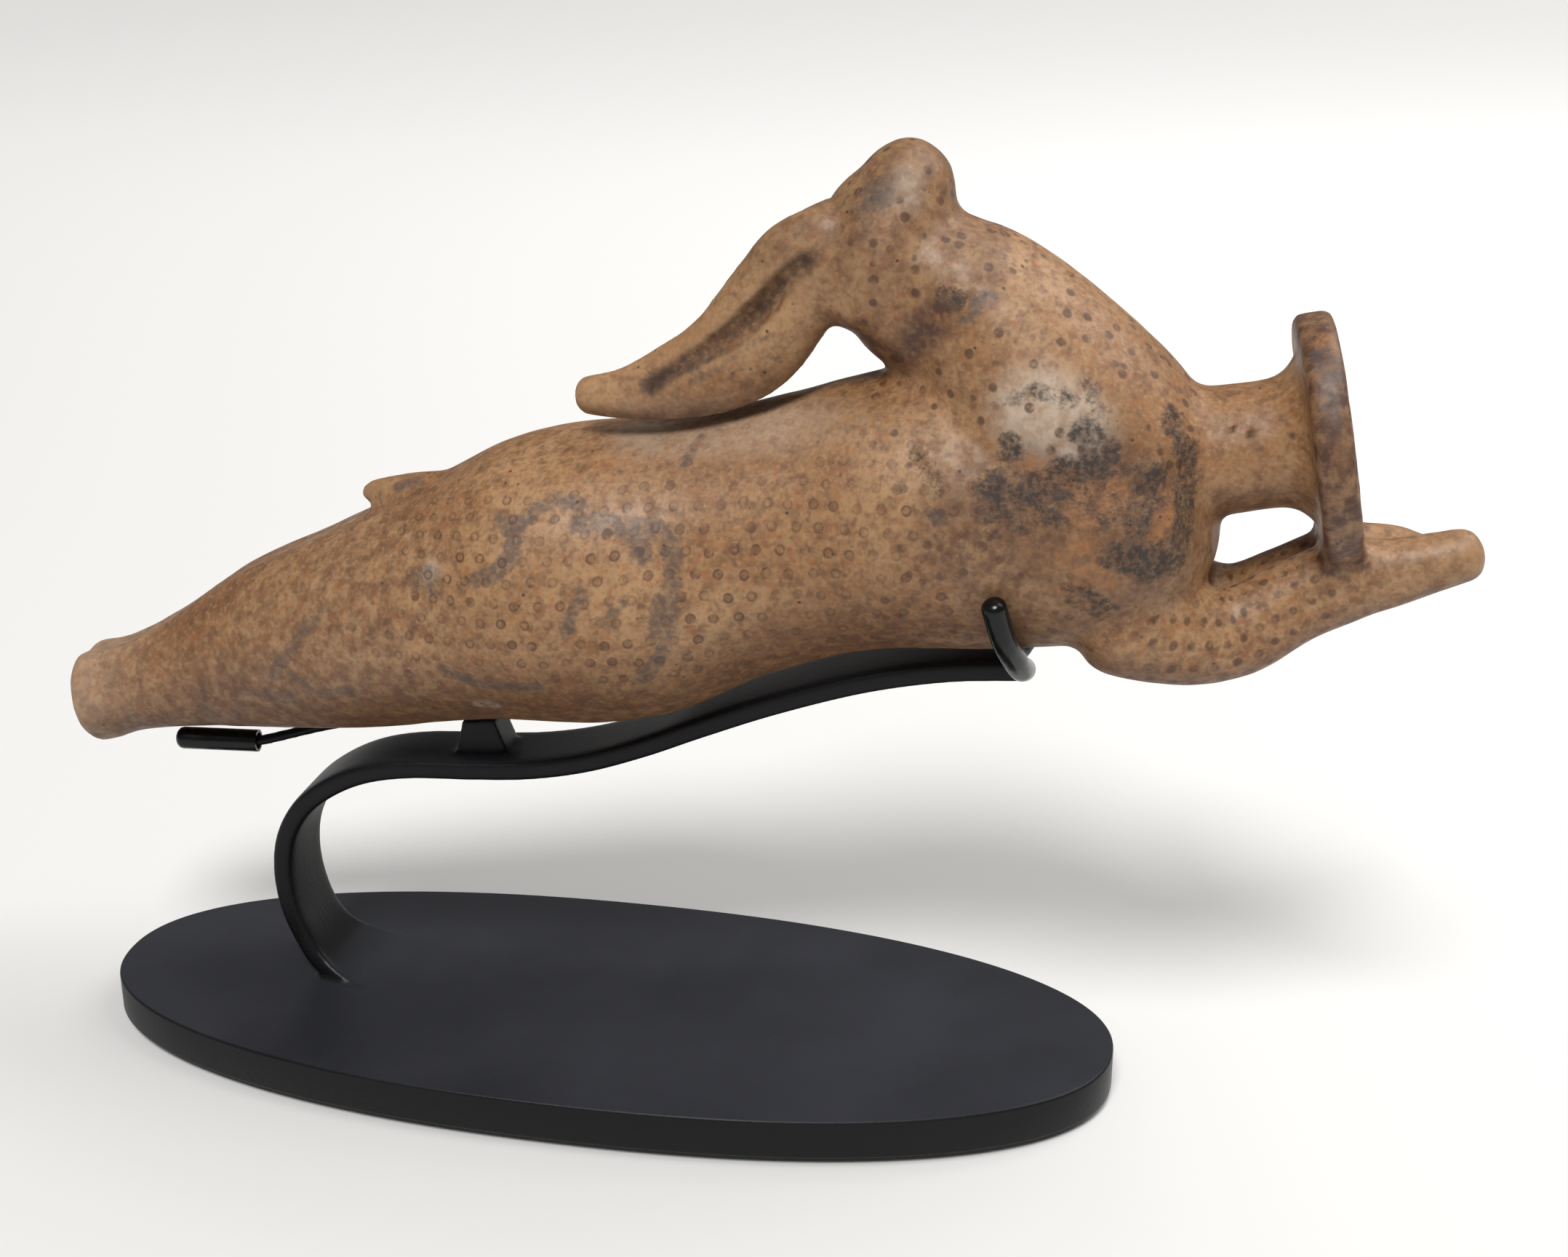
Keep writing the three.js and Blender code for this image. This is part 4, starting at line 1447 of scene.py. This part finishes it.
        ring = smooth_step(x, -38.0, -18.0) * (1 - smooth_step(x, 54.0, 66.0))
        ring *= smooth_step(girth, -17.0, -8.0) * (1 - smooth_step(girth, 13.0, 23.0) * 0.65)
        ring *= np.abs(body.depth()) < 1.2
        leg_dots = on_leg * smooth_step(x, 76.0, 82.0) * (1 - smooth_step(x, 104.0, 112.0))
        throat = (z > 100.0) * (x > 38.0) * (x < 86.0)
        spots = np.clip(throat + (x > 44.0) * (x < 80.0) * 0.8, 0.0, 1.0) * ~on_leg
        give_values(mesh, "paint", np.stack([ring * 0.78, leg_dots * 0.9, spots * 0.78], axis=1))

        bulge = ((points - spread(points, edges, 8)) * normals).sum(1)
        ears = [tube.near(points).depth() for tube in self.ear_hollows]
        in_ear = smooth_step(-np.minimum(*ears), -0.6, 0.5)
        kept = {name: np.zeros((len(x), 3)) for name in ("wear", "tone", "form")}
        # painted shade: hollow creases and the ear hollows are darkened with the hollow colour; the soil
        # marks add the ear grooves' shade and a few soil spots
        kept["form"][:, 0] = np.clip(smooth_step(-bulge, 0.2, 0.45) * 0.45 + in_ear * 0.45, 0.0, 1.0)
        kept["form"][:, 1] = smooth_step(bulge, 0.1, 0.3)
        # browner towards the rear, and painted shade: browner on the lower flank, below the level line
        kept["tone"][:, 0] = smooth_step(-x, 6.0, 26.0) + 0.6 * smooth_step(-girth, 8.0, 18.0)
        kept["tone"][:, 1] = smooth_step(-x, 66.0, 84.0) * 0.3
        inside = (body.depth() < -2.4) * (np.abs(y) < body.wide - 2.4) * (x < 84.0) * (z < 104.0)
        along, from_axis = self.mouth.polar(points)
        on_rim = smooth_step(from_axis, 13.5, 16.5) * (np.abs(along) < 3.2) * (from_axis < 18.0)
        under = smooth_step(-normals[:, 2], 0.1, 0.75)
        rear = smooth_step(-x, 12.0, 30.0)
        on_head = smooth_step(z, 116.0, 128.0) * (x < 60.0)
        low = smooth_step(-girth, 5.0, 16.0) * ~on_leg
        paws = smooth_step(x, 104.0, 112.0) * (z < 96.0)
        # dark brown share: raw clay inside; painted shade on the rim, the head, the lower flank and faces
        # looking down; also darker towards the rear and at the paws
        shares = [inside * 1.0, on_rim * 0.85, on_head * 0.42, low * 0.52, under * 0.6]
        kept["tone"][:, 2] = np.maximum.reduce(shares + [rear * 0.16, paws * 0.2])
        for kind, marks in MARKS.items():
            attribute, place = kind.value
            values = kept[attribute][:, place]
            for mark in marks:
                np.maximum(values, mark.share(points), out=values)
        for name, values in kept.items():
            give_values(mesh, name, np.clip(values, 0.0, 1.0))

    def build(self) -> None:
        """Makes the hare and puts it in the place of its CAD node."""
        made = self.skin()
        self.soften(made.data)
        self.hollow_out(made)
        self.dress(made.data)
        shade_smooth(made.data, 60.0)
        finish_piece(made, self.finish.material(), ("hare_vessel",))


# The stand

STRAP_HALF_THICKNESS = 1.6
STRAP_HALF_WIDTH = 6.35
STRAP_LINE = (
    (-48.6, 0, 12.6),
    (-50.5, 0, 18),
    (-51.1, 0, 24),
    (-50.1, 0, 30),
    (-47.1, 0, 35.3),
    (-42.3, 0, 39.3),
    (-36.3, 0, 42.2),
    (-28.8, 0, 43.8),
    (-18.8, 0, 44.5),
    (-9.8, 0, 45.4),
    (-0.8, 0, 47.4),
    (8.2, 0, 50.7),
    (17.2, 0, 54.7),
    (28.2, 0, 59.3),
    (41.2, 0, 63.8),
    (53.2, 0, 66.5),
    (63.7, 0, 67.6),
)
STRAP_FOOT = (
    (-35.5, 0, 5.6, 0.6, 9.4),
    (-41.0, 0, 6.5, 1.0, 8.6),
    (-45.6, 0, 8.5, 1.6, 7.2),
)
ARM_LINE = (
    (-16.1, 1.5, 50.1),
    (-22.1, 4.6, 50.3),
    (-29.1, 5.4, 49.4),
    (-37.1, 4.6, 47.6),
    (-46.1, 2.4, 46.0),
    (-55.3, -1.2, 44.3),
    (-59.3, -1.6, 44.3),
    (-63.3, -2.0, 44.3),
    (-67.3, -2.4, 44.3),
)
ARM_SLEEVE_ROWS = 4
PRONG_LINE = (
    (63.2, 0, 67.7),
    (64.0, 3.6, 67.7),
    (64.3, 6.8, 68.4),
    (64.2, 10.2, 69.9),
    (63.6, 13.7, 72.5),
    (62.4, 17.2, 76.6),
    (61.1, 19.5, 82.1),
)
PRONG_SLEEVE_ROWS = 5
GUSSET_OUTLINE = ((-22.4, 44.6), (-13.2, 44.9), (-15.8, 51.9), (-20.8, 51.5))


def rod(line: Line, radius: float, caps: tuple[float, float] = (0.0, 0.0)) -> Tube:
    """A round tube of one radius along a line."""
    return Tube(tuple((*point, radius, radius) for point in line), caps)


def other_side(line: Line) -> Line:
    """A line on the other side of the plane of symmetry."""
    return tuple((x, -y, z) for x, y, z in line)


def lengthened(line: Line, past: float) -> Line:
    """A line run on straight past its end.

    Args:
        line: the line.
        past: how far past its end, in millimetres.

    Returns:
        The line with one point more.
    """
    end, inside = np.array(line[-1], float), np.array(line[-2], float)
    run = (end - inside) / np.linalg.norm(end - inside)
    return (*line, tuple(end + past * run))


@dataclass
class OvalSlab:
    """A flat slab with an oval outline a little fuller at its ends than an ellipse, its edges rounded."""

    length: float
    width: float
    bottom: float
    top: float
    edge: float
    fullness: float = 2.2

    def surface(self, sides: int = 240) -> Surface:
        """The slab as rings from the middle of its underside to the middle of its top.

        A ring set in by s is (cos a)^(2/f) (length/2 - s), (sin a)^(2/f) (width/2 - s), with their
        signs and the fullness f. Over the rounded edge, s and the height follow a quarter circle.

        Args:
            sides: points round a ring.

        Returns:
            The closed surface.
        """
        angle = 2 * math.pi * np.arange(sides) / sides
        power = 2.0 / self.fullness
        unit = np.stack([np.cos(angle), np.sin(angle)], axis=1)
        unit = np.sign(unit) * np.abs(unit) ** power
        turn = np.radians(np.linspace(0.0, 90.0, 5))
        inner = np.linspace(1.0, 0.06, 7)[:, None] * (self.width / 2 - self.edge)
        setback = np.concatenate([inner[:-1, 0] + self.edge, self.edge * (1 - np.sin(turn))])
        drop = np.concatenate([np.zeros(6), self.edge * (1 - np.cos(turn))])
        setback = np.concatenate([[self.width / 2], setback, setback[::-1], [self.width / 2]])
        height = np.concatenate([[self.bottom], self.bottom + drop, (self.top - drop)[::-1], [self.top]])
        share_x = np.maximum(self.length / 2 - setback * self.length / self.width, 0.0)
        share_x = np.where(setback <= self.edge, self.length / 2 - setback, share_x)
        share_y = self.width / 2 - setback
        rings = np.zeros((len(setback), sides, 3))
        rings[..., 0] = unit[:, 0] * share_x[:, None]
        rings[..., 1] = unit[:, 1] * share_y[:, None] - BASE_AHEAD_OF_HARE
        rings[..., 2] = height[:, None]
        return closed_surface(rings)


@dataclass
class DisplayStand:
    """Base plate, bent strap, gusset, arm and the two prongs, brazed together and sprayed black."""

    finish: BlackEnamel = field(default_factory=BlackEnamel)
    plate: OvalSlab = field(default_factory=lambda: OvalSlab(160.0, 61.6, 0.0, 6.35, 0.5))
    rod_radius: float = 0.85
    gusset_width: float = 6.0
    voxel: float = 0.36

    def strap(self) -> Tube:
        """The flat bar, beaten out wide and thin at its foot."""
        bar = tuple((*point, STRAP_HALF_THICKNESS, STRAP_HALF_WIDTH) for point in STRAP_LINE)
        return Tube(STRAP_FOOT + bar, outline=Outline.BAR)

    def gusset(self) -> Surface:
        """The small block between strap and belly: its side view carried across.

        Returns:
            The closed surface.
        """
        side = np.array(GUSSET_OUTLINE)[::-1]
        middle = side.mean(axis=0)
        rings = []
        for share, across in ((0.0, -1.0), (1.0, -1.0), (1.0, 1.0), (0.0, 1.0)):
            flat = middle + share * (side - middle)
            y = np.full(len(flat), across * self.gusset_width / 2)
            rings.append(np.stack([flat[:, 0], y, flat[:, 1]], axis=1))
        return closed_surface(np.array(rings))

    def pad(self) -> Surface:
        """The bit of the plate round the strap's foot, for the foot to be blended into."""
        made = OvalSlab(36.0, 34.0, 3.4, self.plate.top - 0.02, 0.4).surface(120)
        return Surface(made.points + np.array([-42.0, BASE_AHEAD_OF_HARE, 0.0]), made.faces)

    def build(self) -> None:
        """Makes the stand and puts it in the place of its CAD node."""
        forms = (
            self.strap().surface(0.8, 64)
            + self.gusset()
            + rod(ARM_LINE, self.rod_radius).surface(0.8, 20)
            + rod(PRONG_LINE, self.rod_radius).surface(0.6, 20)
            + rod(other_side(PRONG_LINE), self.rod_radius).surface(0.6, 20)
            + self.pad()
        )
        made = remeshed(piece("display_stand", forms), self.voxel)
        edges = edges_of(made.data)
        points = spread(points_of(made.data), edges, 4, 0.5)
        hollow = ((spread(points, edges, 8) - points) * normals_of(made.data)).sum(1)
        crease = np.clip(spread(smooth_step(hollow, 0.03, 0.1), edges, 3) * 1.5, 0.0, 1.0)
        move_points(made.data, spread(points, edges, 14, crease * 0.6))
        combine(made, piece("plate", self.plate.surface()), Cut.JOIN)
        shade_smooth(made.data, 38.0)
        finish_piece(made, self.finish.material(), ("stand",))


@dataclass
class Sleeve:
    """A soft tube over the end of a rod: open at one end, closed a little past the rod's tip."""

    name: str
    line: Line
    finish: SoftTubing
    radius: float = 1.75
    bore: float = 1.32
    overrun: float = 1.2
    round_tip: float = 1.2
    play: float = 0.3
    cut_from: float = 3.0

    def build(self) -> None:
        """Makes the sleeve: a rod with a round tip, with the space for the wire cut into its open end."""
        cover = rod(lengthened(self.line, self.overrun), self.radius, (0.0, self.round_tip))
        outside = cover.surface(0.5, 28)
        before = lengthened(self.line[::-1], self.cut_from)[-1]
        space = rod(lengthened((before, *self.line), self.play), self.bore).surface(0.5, 28)
        made = piece(self.name + "_tube", outside)
        combine(made, piece("space", space), Cut.CUT)
        shade_smooth(made.data, 50.0)
        finish_piece(made, self.finish.material(), (self.name,))


@dataclass
class BaseLiner:
    """The thin dark liner under the plate, set back from its edge."""

    finish: LinerFelt = field(default_factory=LinerFelt)
    slab: OvalSlab = field(default_factory=lambda: OvalSlab(155.6, 57.2, -1.2, -0.3, 0.15))

    def build(self) -> None:
        """Makes the liner and puts it in the place of its CAD node."""
        made = piece("felt_liner", self.slab.surface(160))
        shade_smooth(made.data, 40.0)
        finish_piece(made, self.finish.material(), ("base_liner",))


# The studio


@dataclass
class Studio:
    """Camera, paper floor and soft lights."""

    camera_at: Place = (88.08, -288.75, 186.12)
    looks_at: Place = (28.6, 3.6, 70.4)
    sensor: float = 36.0
    lens: float = 50.23
    floor_reach: float = 20000.0
    key_strength: float = 2.6
    key_angle_deg: float = 20.0
    key_at: Place = (0.0, -574.0, 830.0)
    key_to: Place = (20.0, 0.0, 0.0)
    softbox_watts: float = 7.6
    softbox_size: float = 800.0
    softbox_at: Place = (620.0, 260.0, 900.0)
    softbox_to: Place = (200.0, 120.0, 0.0)
    room: float = 0.22
    room_colour: str = "#FFFDFB"

    def camera(self) -> None:
        """The camera, level, where the photograph's perspective puts it."""
        data = bpy.data.cameras.new("camera")
        data.sensor_width, data.lens = self.sensor, self.lens
        data.clip_start, data.clip_end = 0.01, 20.0
        made = bpy.data.objects.new("camera", data)
        self.aimed(made, self.camera_at, self.looks_at)
        bpy.context.scene.camera = made

    def floor(self) -> None:
        """The sheet of paper that it all stands on."""
        reach = self.floor_reach * MM
        corners = [(-reach, -reach, 0), (reach, -reach, 0), (reach, reach, 0), (-reach, reach, 0)]
        mesh = bpy.data.meshes.new("floor")
        mesh.from_pydata(corners, [], [[0, 1, 2, 3]])
        mesh.materials.append(PaperSweep().material())
        made = bpy.data.objects.new("floor", mesh)
        bpy.context.scene.collection.objects.link(made)

    def aimed(self, made: bpy.types.Object, at: Place, to: Place) -> None:
        """Puts an object at a place in the frame, in millimetres, and turns it to face another.

        Args:
            made: the object.
            at: where it goes.
            to: what it faces.
        """
        bpy.context.scene.collection.objects.link(made)
        made.location = Vector(at) * MM
        made.rotation_mode = "QUATERNION"
        made.rotation_quaternion = (Vector(to) - Vector(at)).to_track_quat("-Z", "Y")

    def key(self) -> None:
        """The flash from above the camera, which throws the soft shadow behind the hare."""
        data = bpy.data.lights.new("key", "SUN")
        data.energy, data.angle = self.key_strength, math.radians(self.key_angle_deg)
        self.aimed(bpy.data.objects.new("key", data), self.key_at, self.key_to)

    def softbox(self) -> None:
        """The big soft box overhead on the right."""
        data = bpy.data.lights.new("softbox", "AREA")
        data.shape, data.size, data.energy = "SQUARE", self.softbox_size * MM, self.softbox_watts
        self.aimed(bpy.data.objects.new("softbox", data), self.softbox_at, self.softbox_to)

    def build(self) -> None:
        """Sets up the studio."""
        self.camera()
        self.floor()
        self.key()
        self.softbox()
        world = bpy.data.worlds.new("soft room")
        bpy.context.scene.world = world
        world.use_nodes = True
        background = world.node_tree.nodes["Background"]
        background.inputs["Color"].default_value = linear(self.room_colour)
        background.inputs["Strength"].default_value = self.room
        bpy.context.scene.view_settings.view_transform = "Standard"


def main() -> None:
    """Builds the studio and the object's pieces, in order, and writes how big the result is."""
    logging.basicConfig(level=logging.INFO, format="%(name)s %(message)s")
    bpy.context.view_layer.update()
    Studio().build()
    tubing = SoftTubing()
    parts = (
        ClayHare(),
        DisplayStand(),
        Sleeve("prong_sleeve_near", other_side(PRONG_LINE[-PRONG_SLEEVE_ROWS:]), tubing),
        Sleeve("prong_sleeve_far", PRONG_LINE[-PRONG_SLEEVE_ROWS:], tubing),
        Sleeve("arm_sleeve", ARM_LINE[-ARM_SLEEVE_ROWS:], tubing),
        BaseLiner(),
    )
    for part in parts:
        part.build()


if __name__ == "__main__":
    main()
